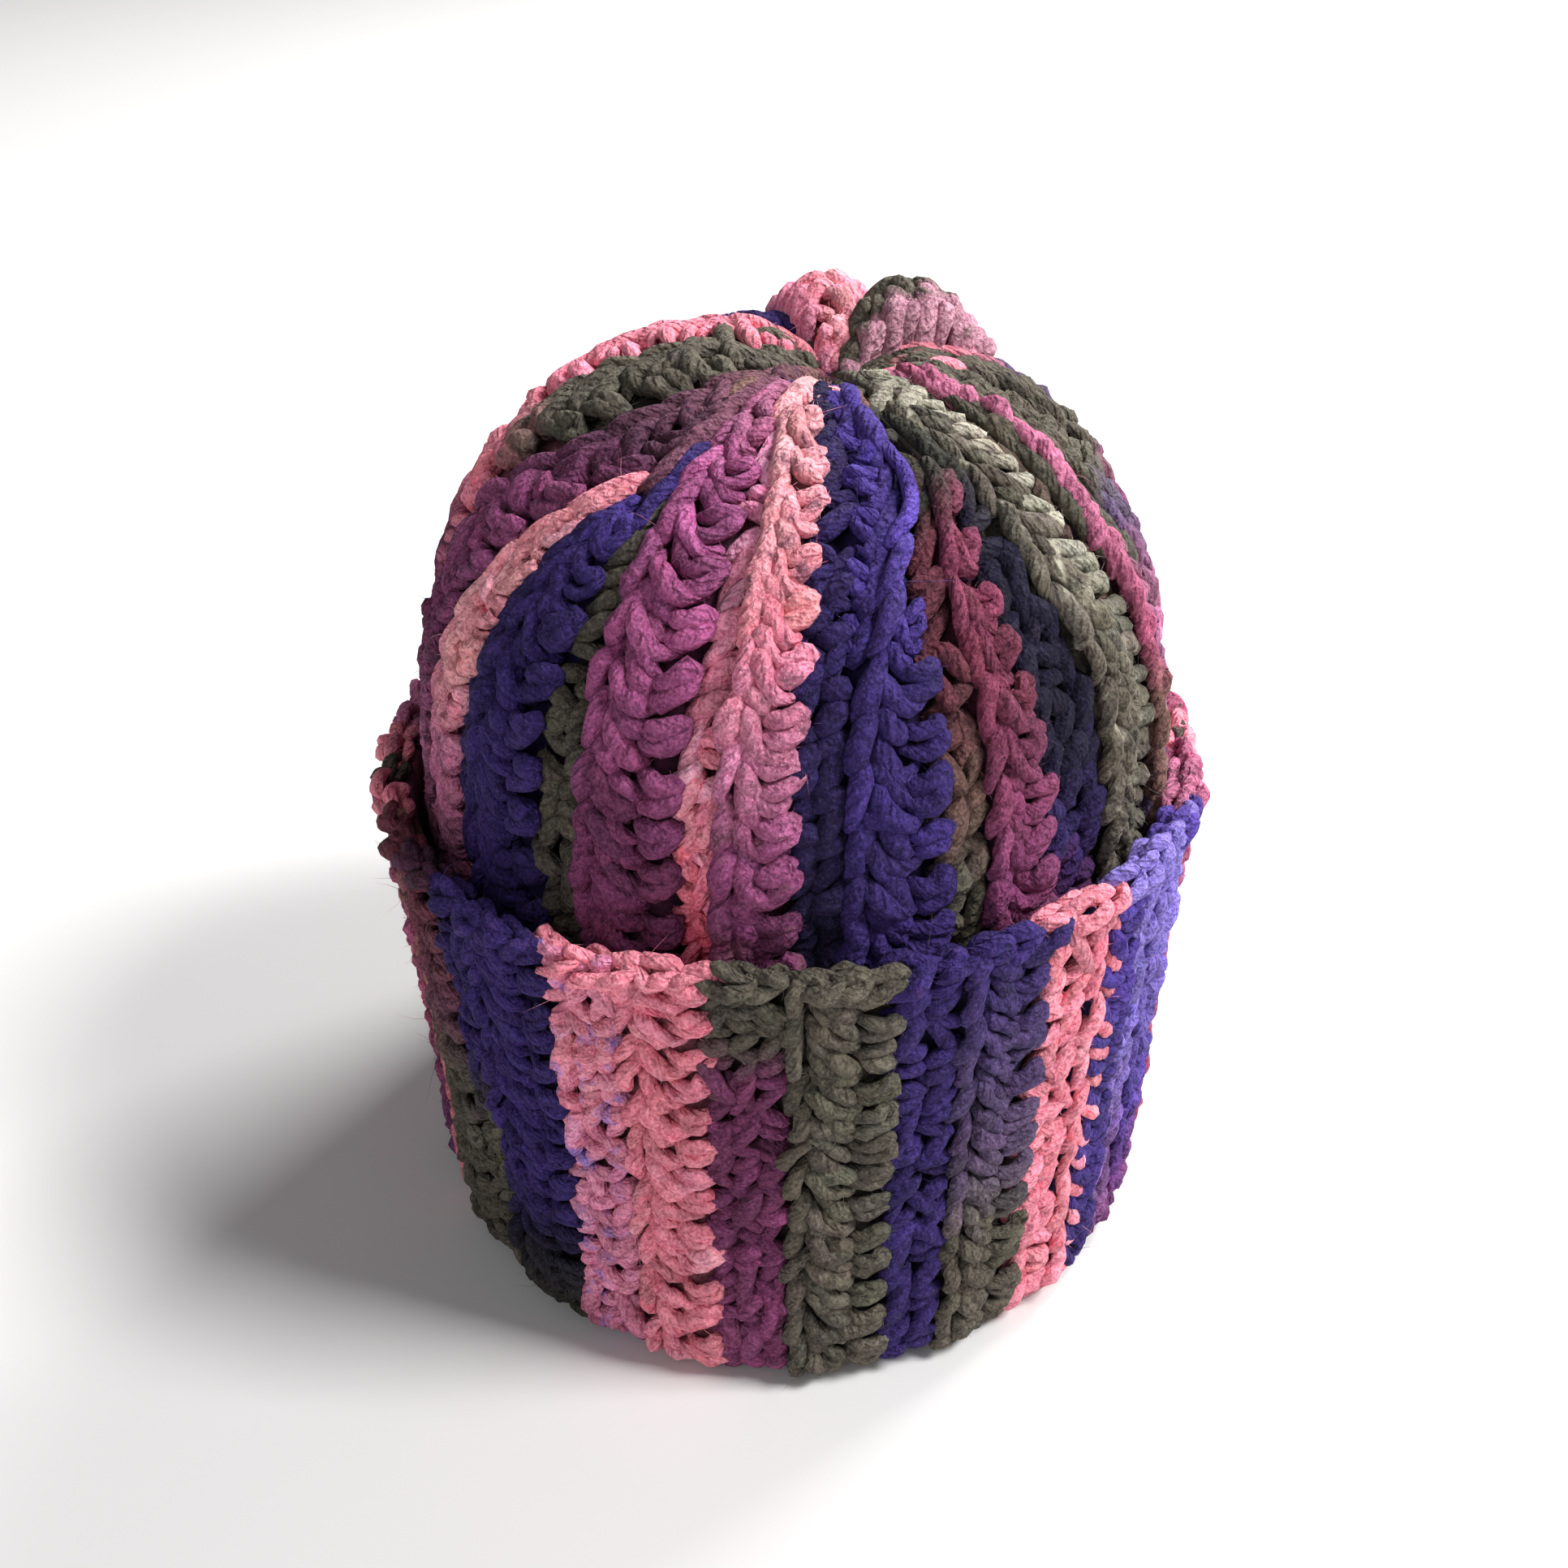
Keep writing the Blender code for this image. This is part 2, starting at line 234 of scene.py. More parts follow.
def cuffAt(angle, along, height):
    # half sizes at this height + outset + lean (z/H)^2, turned round by the angle
    c, inner, t = cuff, crown, cuffTable
    get = lambda key: np.interp(along, t["along"], t[key])
    lean, rise = cuffEdge(angle)
    share = get("high") / c["height"]
    high = get("high") + rise * share**2
    wide, deep, _ = crownSide((high - inner["footHeight"]) / (inner["sideHeight"] - inner["footHeight"]))
    reach = c["clear"] + get("outset") + lean * share**2
    x, y = outwards(angle)
    normal = unitVectors(np.stack([x * get("out"), y * get("out"), get("up") + 0 * x], axis=-1))
    base = np.stack([(wide + reach) * x, (deep + reach) * y, high + 0 * x], axis=-1)
    return base + normal * np.asarray(height)[..., None], normal


# Each crown rib: its left edge at four levels, the share of its pitch that the ridge takes, its
# lift, and its colours from the foot (0) to the gather (1), first the ridge's, then the groove's.
# A run of colours has a place and a name for each knot, or one name for all of it.
crownRibs = [
    # foot, shoulder, upper, gather, ridge, lift, ridge colours, groove colours
    (-80, -80, -64, -55, 0.85, 0.00,
     "0.15 mauve, 0.35 plum, 0.5 orchid, 0.62 plum, 0.72 darkPlum, 0.85 plumBrown, 1 brown", "darkPlum"),
    (-70, -57, -34, -30, 0.75, -0.10,
     "0.2 mauve, 0.38 lightSalmon, 0.72 salmon, 0.84 brown, 1 brown", "indigo"),
    (-56, -46, -32, -28, 0.65, -0.05, "0 indigo, 0.5 indigo, 0.7 violet, 1 indigo", "olive"),
    (-32, -30.5, -30, -26, 0.72, 0.05,
     "0 plum, 0.25 plum, 0.45 orchid, 0.7 orchid, 0.85 mauve, 1 plumBrown",
     "0.1 deepSalmon, 0.3 salmon, 0.7 blush, 1 salmon"),
    (-11, -8, -8, -14, 0.55, 0.10,
     "0.12 plum, 0.24 orchid, 0.42 blush, 0.5 salmon, 0.75 lightSalmon, 1 lightSalmon",
     "0 navy, 0.6 indigo, 1 navy"),
    (7, 8, 12, 3, 0.65, 0.00,
     "0 indigo, 0.4 indigo, 0.6 violet, 1 violet",
     "0.15 olive, 0.3 brown, 0.45 redBrown, 0.62 redBrown, 0.7 darkOlive, 1 olive"),
    (29, 26, 31, 20, 0.40, -0.20,
     "0.15 plum, 0.4 wine, 0.62 wine, 0.7 darkOlive, 1 olive",
     "0 plum, 0.15 indigo, 0.3 navy, 0.6 navy, 0.7 darkOlive, 1 olive"),
    # rib 7's upper strands turn to olive with a painted highlight
    (54, 41, 38, 23, 0.77, 0.10, "0 olive, 0.35 olive, 0.6 sage, 1 sage", "0 brown, 1 olive"),
    (71, 61, 57, 54, 0.65, -0.10,
     "0.2 greyPlum, 0.4 mauve, 0.52 olive, 1 olive", "0 plum, 0.5 olive, 1 olive"),
    (82, 72, 67, 66, 0.60, 0.10,
     "0.3 mauve, 0.5 greyPlum, 0.6 olive, 0.93 olive, 1 salmon", "0 plum, 0.6 olive, 1 olive"),
    (98, 94, 90, 84, 0.60, 0.00,
     "0 plum, 0.45 orchid, 0.58 olive, 0.88 olive, 0.95 salmon, 1 salmon", "0 navy, 0.5 olive, 1 olive"),
    (116, 112, 106, 104, 0.60, 0.00, "0 indigo, 0.5 indigo, 0.66 greyPlum, 0.8 salmon, 1 salmon", "olive"),
    (133, 130, 128, 126, 0.60, 0.00, "0 olive, 1 plum", "0 salmon, 1 mauve"),
    (150, 149, 150, 148, 0.60, 0.00, "0 salmon, 1 mauve", "0 rose, 1 orchid"),
    (168, 167, 166, 164, 0.60, 0.00, "0 orchid, 1 salmon", "0 plum, 1 salmon"),
    (186, 184, 178, 177, 0.60, 0.00, "0 plum, 1 salmon", "0 indigo, 1 navy"),
    (203, 201, 190, 186, 0.60, 0.00, "0 violet, 1 indigo", "0 brown, 1 olive"),
    (221, 218, 203, 196, 0.65, 0.25, "0 olive, 0.5 indigo, 1 indigo", "0 rose, 1 violet"),
    (238, 238, 225, 212, 0.70, 0.45, "0 mauve, 0.5 salmon, 1 salmon", "0 plum, 1 olive"),
    (258, 258, 258, 244, 0.75, 0.20,
     "0 plum, 0.4 plum, 0.48 salmon, 0.56 salmon, 0.64 olive, 1 olive",
     "0 plum, 0.5 salmon, 0.6 olive, 1 plumBrown"),
]

# Each cuff rib: left edge, ridge share, and colours from the fold (0) to the loose edge (1)
cuffRibs = [
    # left edge, ridge, ridge colours, groove colours
    (-64, 0.60,
     "0 navy, 0.1 olive, 0.5 olive, 0.65 plumBrown, 1 redBrown",
     "0 olive, 0.45 olive, 0.6 indigo, 1 indigo"),
    (-46.5, 0.58,
     "0.08 darkOlive, 0.24 navy, 0.4 indigo, 1 indigo",
     "0 rose, 0.2 blush, 0.5 blush, 0.8 salmon, 1 blush"),
    (-22.5, 0.53, "salmon", "0 orchid, 0.4 plum, 0.78 plum, 0.86 olive, 1 olive"),
    (-1, 0.60, "olive", "indigo"),
    (21.5, 0.60, "0.35 olive, 0.55 greyPlum, 1 indigo", "salmon"),
    (42, 0.62, "0 indigo, 1 violet", "0 plum, 0.6 lilac, 1 lilac"),
    (59, 0.60, "0 plum, 0.4 violet, 0.8 lilac, 1 lilac", "0 rose, 1 pink"),
    (77, 0.60, "0 rose, 1 pink", "0 brown, 1 olive"),
    (95, 0.60, "olive", "0 navy, 1 indigo"),
    (114, 0.60, "0 orchid, 1 plum", "0 salmon, 1 rose"),
    (132, 0.60, "0 indigo, 1 violet", "olive"),
    (151, 0.60, "0 salmon, 1 mauve", "plum"),
    (169, 0.60, "0 olive, 1 greyPlum", "0 indigo, 1 navy"),
    (187, 0.60, "0 plum, 1 orchid", "0 rose, 1 salmon"),
    (206, 0.60, "0 violet, 1 indigo", "0 brown, 1 olive"),
    (224, 0.60, "salmon", "0 plum, 1 orchid"),
    (242, 0.60, "olive", "0 navy, 1 indigo"),
    (260, 0.60, "0 mauve, 1 plum", "0 rose, 1 salmon"),
    (278, 0.60, "0 indigo, 0.5 rose, 1 mauve", "0 salmon, 1 brown"),
]
ribLevels = (0.25, 0.55, 0.80, 1.00)  # shares of the dome's width where the crown's four angles hold
edgeSteps = 100  # of the dome's width, along a rib's edge
edgeEase = 10  # steps each way that the edge is eased over


def colourRun(text):  # "0.2 mauve, 1 plum" as knots of (place, name)
    knots = [knot.split() for knot in text.split(", ")]
    return [(float(knot[0]) if len(knot) > 1 else 0.0, knot[-1]) for knot in knots]


def edgeTable(ribs, levelled):  # left edges of all ribs on a fine run of dome shares, eased
    levels = np.linspace(0, 1, edgeSteps + 1)
    soft = np.hanning(2 * edgeEase + 1)
    lines = []
    for row in ribs:
        line = np.interp(levels, ribLevels, row[3::-1]) if levelled else np.full(len(levels), float(row[0]))
        line = np.concatenate([np.full(edgeEase, line[0]), line, np.full(edgeEase, line[-1])])
        lines.append(np.convolve(line, soft / soft.sum(), "valid"))
    lines.append(lines[0] + 360)
    return np.array(lines)


crownEdges = edgeTable(crownRibs, True)
cuffEdges = edgeTable(cuffRibs, False)
crownRidge = np.array([row[4] for row in crownRibs])
cuffRidge = np.array([row[1] for row in cuffRibs])
crownLift = np.array([row[5] for row in crownRibs])
crownRuns = [[colourRun(row[column]) for row in crownRibs] for column in (6, 7)]
cuffRuns = [[colourRun(row[column]) for row in cuffRibs] for column in (2, 3)]


def ribAngle(edges, ridge, rib, across, share):
    # across 0 to 1 is the ridge and 1 to 2 the groove; left + (right - left) * place
    spot = np.clip(share, 0, 1) * edgeSteps
    low = np.minimum(spot.astype(int), edgeSteps - 1)
    mix = spot - low
    left = edges[rib, low] * (1 - mix) + edges[rib, low + 1] * mix
    right = edges[rib + 1, low] * (1 - mix) + edges[rib + 1, low + 1] * mix
    part = ridge[rib]
    place = np.where(across < 1, across * part, part + (across - 1) * (1 - part))
    return left + (right - left) * place, right - left


def crownRibAt(rib, across, along, height):
    # the point at a place of a rib, its normal and the width of the ridge or groove there
    c = crown
    share = np.interp(along, crownTable["along"], crownTable["share"])
    angle, pitch = ribAngle(crownEdges, crownRidge, rib, across, share)
    width = np.radians(pitch) * share * c["halfWidth"]
    scale = np.clip(width / c["ribWidth"], *c["ribScale"])
    fade = np.clip((1 - share) / c["liftFade"], 0, 1) * (across < 1)
    lifted = height * scale + crownLift[rib] * c["liftHeight"] * fade * scale
    point, normal = crownAt(angle, along, lifted)
    part = crownRidge[rib]
    return point, normal, width * np.where(across < 1.0, part, 1 - part)


def cuffRibAt(rib, across, along, height):
    angle, pitch = ribAngle(cuffEdges, cuffRidge, rib, across, np.ones_like(along))
    point, normal = cuffAt(angle, along, height)
    part = cuffRidge[rib]
    return point, normal, np.radians(pitch) * meanRadius * np.where(across < 1.0, part, 1 - part)


def knotColour(knots, place):  # light values between the knots of one run of colours
    places = [k[0] for k in knots]
    values = np.array([linear(name) for _, name in knots])
    return np.stack([np.interp(place, places, values[:, channel]) for channel in range(3)], axis=-1)


def runColour(runs, rib, place):  # the same, with each rib's own run
    result = np.empty(place.shape + (3,))
    for number in np.unique(rib):
        rows = rib[:, 0] == number
        result[rows] = knotColour(runs[number], place[rows])
    return result


def flecked(colour, amount):  # a fleck's colour with its amount as the fourth value
    return np.concatenate([colour, np.full(colour.shape[:-1] + (1,), amount)], axis=-1)


# One stitch of a rib, seen from outside. Each strand has its points from left to right (across: 0
# to 1 over the ridge, 1 to 2 over the groove), down the rib in stitch lengths, over the surface in
# mm, and its girth in shares of the yarn's. It is left out where the zone is narrower than "least".
# On a ridge wider than the stitch a strand keeps its size and is held at the ridge's left or right
# edge, or it fills the strip between. A groove has one to three columns, and there across is in
# column widths from the column's middle.
stitchStrands = [
    # name, held, zone, samples, least width in mm, points of (across, down, height, girth)
    ("rope", "left", 0, 9, 3.6, [
        (0.24, -0.34, -4.2, 0.68), (0.19, -0.06, -2.7, 1.04), (0.14, 0.32, -2.2, 1.14),
        (0.10, 0.66, -2.7, 1.06), (0.07, 0.96, -4.4, 0.70),
    ]),
    ("leg", "left", 0, 10, 5, [
        (0.30, -0.06, -4.8, 0.55), (0.35, 0.16, -2.8, 1.00), (0.43, 0.44, -2.1, 1.14),
        (0.57, 0.72, -2.4, 1.10), (0.76, 0.88, -2.9, 1.00), (0.94, 0.76, -5.0, 0.60),
    ]),
    ("hook", "left", 0, 8, 10, [
        (0.31, -0.52, -5.0, 0.55), (0.38, -0.32, -3.1, 0.96), (0.47, -0.08, -2.6, 1.04),
        (0.58, 0.12, -3.3, 1.00), (0.68, 0.24, -5.4, 0.60),
    ]),
    ("loop", "right", 0, 18, 4.2, [
        (0.50, 0.20, -5.4, 0.64), (0.68, 0.28, -3.1, 0.98), (0.87, 0.21, -2.2, 1.06),
        (1.00, 0.09, -2.6, 1.00), (1.08, 0.11, -3.2, 0.84), (1.10, 0.19, -3.6, 0.74),
        (1.08, 0.27, -3.2, 0.84), (1.00, 0.39, -2.7, 1.00), (0.85, 0.57, -2.6, 1.06),
        (0.66, 0.62, -3.2, 1.00), (0.48, 0.52, -5.6, 0.64),
    ]),
    ("tuft", "right", 0, 9, 4.2, [
        (0.44, -0.14, -5.4, 0.62), (0.60, 0.02, -3.0, 1.02), (0.80, 0.20, -2.0, 1.14),
        (0.98, 0.34, -2.5, 1.08), (1.07, 0.44, -5.4, 0.66),
    ]),
    ("lowTuft", "right", 0, 9, 4.2, [
        (0.44, 0.34, -5.6, 0.62), (0.60, 0.50, -3.4, 1.02), (0.80, 0.68, -2.4, 1.14),
        (0.98, 0.84, -2.8, 1.08), (1.07, 0.92, -5.4, 0.66),
    ]),
    ("knot", "middle", 0, 8, 20, [
        (-0.25, -0.10, -5.4, 0.55), (0.10, 0.10, -3.0, 1.00), (0.55, 0.34, -2.5, 1.10),
        (1.00, 0.50, -3.2, 1.00), (1.30, 0.56, -5.4, 0.60),
    ]),
    ("twist", "middle", 0, 8, 20, [
        (-0.20, 0.42, -5.4, 0.55), (0.15, 0.60, -3.2, 1.00), (0.55, 0.84, -2.7, 1.06),
        (0.95, 1.00, -3.2, 1.00), (1.25, 1.04, -5.4, 0.60),
    ]),
    ("bead", "column", 1, 8, 2.5, [
        (-0.60, 0.33, -9.2, 0.56), (-0.30, 0.17, -6.6, 1.06), (0.27, -0.11, -6.1, 1.12),
        (0.58, -0.30, -9.0, 0.60),
    ]),
    ("pebble", "column", 1, 8, 2.5, [
        (-0.58, 0.83, -9.2, 0.56), (-0.30, 0.67, -6.9, 1.06), (0.27, 0.39, -6.4, 1.12),
        (0.58, 0.22, -9.0, 0.60),
    ]),
]


def curveWeights(count, samples):  # Catmull-Rom weights: samples along a curve through count points
    spot = np.linspace(0, count - 1, samples)
    low = np.minimum(spot.astype(int), count - 2)
    t = spot - low
    parts = [
        -0.5 * t + t**2 - 0.5 * t**3,
        1 - 2.5 * t**2 + 1.5 * t**3,
        0.5 * t + 2 * t**2 - 1.5 * t**3,
        -0.5 * t**2 + 0.5 * t**3,
    ]
    weights = np.zeros((samples, count))
    for step, part in zip((-1, 0, 1, 2), parts):
        np.add.at(weights, (np.arange(samples), np.clip(low + step, 0, count - 1)), part)
    return weights


def curves(points, samples):  # a smooth line through each strand's own points
    return np.einsum("sk,nkc->nsc", curveWeights(points.shape[1], samples), points)


def copies(table, n):  # the table's points once for each of n strands
    return np.repeat(np.array(table)[None], n, axis=0)


tube = {
    "lumps": [(2, 0.5, 0.070), (3, -0.8, 0.065), (0, 0.9, 0.075), (0, 2.1, 0.030)],  # waves, slide, size
    "flat": 0.92,  # its height in shares of its width
    "tip": 0.6,  # how far its poles stand out, in radii
    "mapRadius": 0.0024,  # the girth that the fibres' pattern is for
    "mapStart": 40,  # each strand's pattern begins anywhere up to here
}


def withPoles(values, first, last):  # the values of a tube's rings, then of its two poles
    return np.concatenate([values, first[:, None], last[:, None]], axis=1)


def strandSkin(centre, normal, radius, tint, fleck, sides):
    # a tube round each line: centre + radius * lumps * (-cos q rise + sin q side), with a pole at
    # each end. Its map is the length along it and round it
    n, m = radius.shape
    tangent = unitVectors(np.gradient(centre, axis=1))
    side = unitVectors(np.cross(tangent, normal))
    rise = np.cross(side, tangent)
    q = np.arange(sides) * 2 * math.pi / sides
    phase = dice.uniform(0, 6.28, (4, n, 1, 1))
    step = np.arange(m)[None, :, None]
    lumps = 1.0
    for (waves, slide, size), start in zip(tube["lumps"], phase):
        lumps = lumps + size * np.sin(waves * q + start + slide * step)
    reach = (radius[..., None] * lumps)[..., None]
    ring = -np.cos(q)[:, None] * rise[:, :, None] * tube["flat"] + np.sin(q)[:, None] * side[:, :, None]
    skin = centre[:, :, None] + reach * ring
    first = centre[:, 0] - tangent[:, 0] * radius[:, :1] * tube["tip"]
    last = centre[:, -1] + tangent[:, -1] * radius[:, -1:] * tube["tip"]
    steps = np.linalg.norm(np.diff(centre, axis=1), axis=-1)
    length = np.concatenate([np.zeros((n, 1)), np.cumsum(steps, axis=1)], axis=1)
    length += dice.uniform(0, tube["mapStart"], (n, 1))
    girth = 2 * math.pi * tube["mapRadius"] / sides

    a, j = np.meshgrid(np.arange(m - 1), np.arange(sides), indexing="ij")
    k = (j + 1) % sides
    quads = np.stack([a * sides + j, (a + 1) * sides + j, (a + 1) * sides + k, a * sides + k], axis=-1)
    us = np.stack([length[:, a], length[:, a + 1], length[:, a + 1], length[:, a]], axis=-1)
    vs = np.broadcast_to(np.stack([j, j, j + 1, j + 1], axis=-1) * girth, us.shape)
    quadMap = np.stack([us, vs], axis=-1)

    here = np.arange(sides)
    there = (here + 1) % sides
    lastRing = (m - 1) * sides
    start = np.stack([np.full(sides, m * sides), here, there], axis=-1)
    end = np.stack([np.full(sides, m * sides + 1), lastRing + there, lastRing + here], axis=-1)
    capMap = []
    for place in (0, -1):
        u = np.broadcast_to(length[:, place, None, None], (n, sides, 3))
        v = np.broadcast_to((here[:, None] + np.array([0.5, 0, 1])) * girth, (n, sides, 3))
        capMap.append(np.stack([u, v], axis=-1).reshape(n, -1, 2))

    shift = (np.arange(n) * (m * sides + 2))[:, None, None]
    hidden = np.full(n, -1.0)
    points = withPoles(skin.reshape(n, m * sides, 3), first, last)
    outwardly = withPoles(ring.reshape(n, m * sides, 3), -tangent[:, 0], tangent[:, -1])
    exposed = withPoles((ring * normal[:, :, None]).sum(-1).reshape(n, m * sides), hidden, hidden)
    tint = withPoles(np.repeat(tint, sides, axis=1), tint[:, 0], tint[:, -1])
    fleck = withPoles(np.repeat(fleck, sides, axis=1), fleck[:, 0], fleck[:, -1])
    return {
        "points": points.reshape(-1, 3),
        "quads": (quads.reshape(1, -1, 4) + shift).reshape(-1, 4),
        "tris": (np.concatenate([start, end])[None] + shift).reshape(-1, 3),
        "quadMap": quadMap.reshape(-1, 2),
        "triMap": np.concatenate(capMap, axis=1).reshape(-1, 2),
        "tint": tint.reshape(-1, 3),
        "fleck": fleck.reshape(-1, 4),
        "out": outwardly.reshape(-1, 3),
        "exposed": exposed.reshape(-1),
    }


def buildPiece(name, parts, material, node):
    # joins the parts' arrays and writes them into one mesh with its map and two colour layers
    offsets = np.cumsum([0] + [len(p["points"]) for p in parts])
    points = np.concatenate([p["points"] for p in parts])
    quads = np.concatenate([p["quads"] + o for p, o in zip(parts, offsets)])
    tris = np.concatenate([p["tris"] + o for p, o in zip(parts, offsets)])
    corners = np.concatenate([quads.ravel(), tris.ravel()]).astype(np.int32)
    starts = np.concatenate([np.arange(len(quads)) * 4, len(quads) * 4 + np.arange(len(tris)) * 3])
    uv = np.concatenate([p["quadMap"] for p in parts] + [p["triMap"] for p in parts])
    mesh = bpy.data.meshes.new(name)
    mesh.vertices.add(len(points))
    mesh.vertices.foreach_set("co", points.astype(np.float32).ravel())
    mesh.loops.add(len(corners))
    mesh.loops.foreach_set("vertex_index", corners)
    mesh.polygons.add(len(starts))
    mesh.polygons.foreach_set("loop_start", starts.astype(np.int32))
    mesh.update(calc_edges=True)
    mesh.uv_layers.new(name="yarn").data.foreach_set("uv", uv.astype(np.float32).ravel())
    for layer, width in (("tint", 3), ("fleck", 4)):
        values = np.concatenate([p[layer] for p in parts])
        if width == 3:
            values = np.column_stack([values, np.ones(len(values))])
        attribute = mesh.color_attributes.new(name=layer, type="FLOAT_COLOR", domain="POINT")
        attribute.data.foreach_set("color", values.astype(np.float32).ravel())
    mesh.shade_smooth()
    mesh.materials.append(material)
    piece = bpy.data.objects.new(name, mesh)
    scene.collection.objects.link(piece)
    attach(piece, "root")
    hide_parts(node)
    print(name, len(quads) * 2 + len(tris), "triangles")
    return piece


# Effects shared by the yarn materials: fibres along the strand, flecks of another colour and a felted
# grain with painted shade in its hollows, and a painted sheen on the fibre tips
def yarnGroup():
    group = bpy.data.node_groups.new("rovingFibres", "ShaderNodeTree")
    side = group.interface
    for name, kind, value in (
        ("Tint", "NodeSocketColor", (0.5, 0.5, 0.5, 1)),
        ("Fleck", "NodeSocketColor", (0.5, 0.5, 0.5, 1)),
        ("Fleck Amount", "NodeSocketFloat", 0.2),
        ("Contrast", "NodeSocketFloat", 0.5),
        ("Twist", "NodeSocketFloat", 0.5),
        ("Glint", "NodeSocketFloat", 0.2),
    ):
        side.new_socket(name, in_out="INPUT", socket_type=kind).default_value = value
    for name, kind in (("Colour", "Color"), ("Height", "Float"), ("Roughness", "Float")):
        side.new_socket(name, in_out="OUTPUT", socket_type="NodeSocket" + kind)
    nodes, link = group.nodes, group.links.new
    given, out = nodes.new("NodeGroupInput"), nodes.new("NodeGroupOutput")
    uv = nodes.new("ShaderNodeUVMap")
    uv.uv_map = "yarn"
    split = nodes.new("ShaderNodeSeparateXYZ")
    link(uv.outputs[0], split.inputs[0])
    where = nodes.new("ShaderNodeTexCoord")

    def operation(sort, kind, *values):
        node = nodes.new(sort)
        node.operation = kind
        for socket, value in zip(node.inputs, values):
            if isinstance(value, (int, float, tuple)):
                socket.default_value = value
            else:
                link(value, socket)
        return node.outputs[0]

    maths = lambda kind, *values: operation("ShaderNodeMath", kind, *values)
    vector = lambda kind, *values: operation("ShaderNodeVectorMath", kind, *values)
    turned = maths("MULTIPLY_ADD", split.outputs[0], given.outputs["Twist"], split.outputs[1])

    def noise(place, scale, detail, rough=0.5):
        node = nodes.new("ShaderNodeTexNoise")
        node.inputs["Scale"].default_value = scale
        node.inputs["Detail"].default_value = detail
        node.inputs["Roughness"].default_value = rough
        link(place, node.inputs["Vector"])
        return node.outputs["Fac"]

    def stretched(alongScale, roundScale, detail):
        join = nodes.new("ShaderNodeCombineXYZ")
        link(maths("MULTIPLY", split.outputs[0], alongScale), join.inputs[0])
        link(maths("MULTIPLY", turned, roundScale), join.inputs[1])
        return noise(join.outputs[0], 1.0, detail)

    def spread(value, low, high, least=0.0, most=1.0):
        node = nodes.new("ShaderNodeMapRange")
        link(value, node.inputs["Value"])
        for key, number in (("From Min", low), ("From Max", high), ("To Min", least), ("To Max", most)):
            node.inputs[key].default_value = number
        return node.outputs["Result"]

    def mixed(factor, first, second):
        node = nodes.new("ShaderNodeMix")
        node.data_type = "RGBA"
        link(factor, node.inputs["Factor"])
        link(first, node.inputs["A"])
        link(second, node.inputs["B"])
        return node.outputs["Result"]

    # by size: single fibres, small tufts, patches as long as a strand, and bundles along it
    fuzzScale, tuftScale, patchScale, bundleScale = 1150, 430, 180, (190, 480)
    fuzz = noise(where.outputs["Object"], fuzzScale, 2.5, 0.62)
    tuft = noise(where.outputs["Object"], tuftScale, 1.5)
    patch = noise(where.outputs["Object"], patchScale, 1)
    bundle = stretched(*bundleScale, 1.0)

    # the felted grain, as light and dark: partly the wool's own mottle, partly painted shade, as its low
    # places are the hollows of the bump
    usual = (0.3, 0.7)  # nearly all values of a noise lie between
    grainAndShade = maths("ADD", spread(fuzz, *usual, 0.0, 0.50), spread(tuft, *usual, 0.0, 0.30))
    grainAndShade = maths("ADD", grainAndShade, spread(bundle, *usual, 0.0, 0.20))
    # flecks of another colour, where 0.4 tuft + patch is over 0.96 - amount / 2
    threshold = maths("MULTIPLY_ADD", given.outputs["Fleck Amount"], -0.5, 0.96)
    edge = maths("SUBTRACT", maths("ADD", maths("MULTIPLY", tuft, 0.4), patch), threshold)
    colour = mixed(spread(edge, -0.10, 0.16), given.outputs["Tint"], given.outputs["Fleck"])
    # painted shade in the grain's hollows, a darker and richer colour: about c (0.4 c + 0.5)
    richer = vector("MULTIPLY_ADD", colour, (0.42, 0.36, 0.42), (0.50, 0.46, 0.52))
    deep = vector("MULTIPLY", colour, richer)
    colour = mixed(spread(grainAndShade, 0.20, 0.60, 1.0, 0.0), colour, deep)
    factor = maths("MULTIPLY_ADD", maths("SUBTRACT", grainAndShade, 0.5), given.outputs["Contrast"], 1.0)
    factor = maths("MULTIPLY", factor, spread(patch, *usual, 0.84, 1.16))
    bright = nodes.new("ShaderNodeVectorMath")
    bright.operation = "SCALE"
    link(colour, bright.inputs[0])
    link(factor, bright.inputs["Scale"])
    # painted sheen: pale tips of the fibres
    tip = maths("MULTIPLY", spread(fuzz, 0.54, 0.70), given.outputs["Glint"])
    pale = vector("MULTIPLY_ADD", given.outputs["Tint"], (1.3, 1.3, 1.3), (0.032, 0.028, 0.028))
    link(mixed(tip, bright.outputs[0], pale), out.inputs["Colour"])
    height = maths("ADD", maths("MULTIPLY", fuzz, 0.52), maths("MULTIPLY", tuft, 1.2))
    link(maths("ADD", height, maths("MULTIPLY", bundle, 1.4)), out.inputs["Height"])
    link(maths("MULTIPLY_ADD", grainAndShade, 0.15, 0.82), out.inputs["Roughness"])
    return group


fibres = yarnGroup()


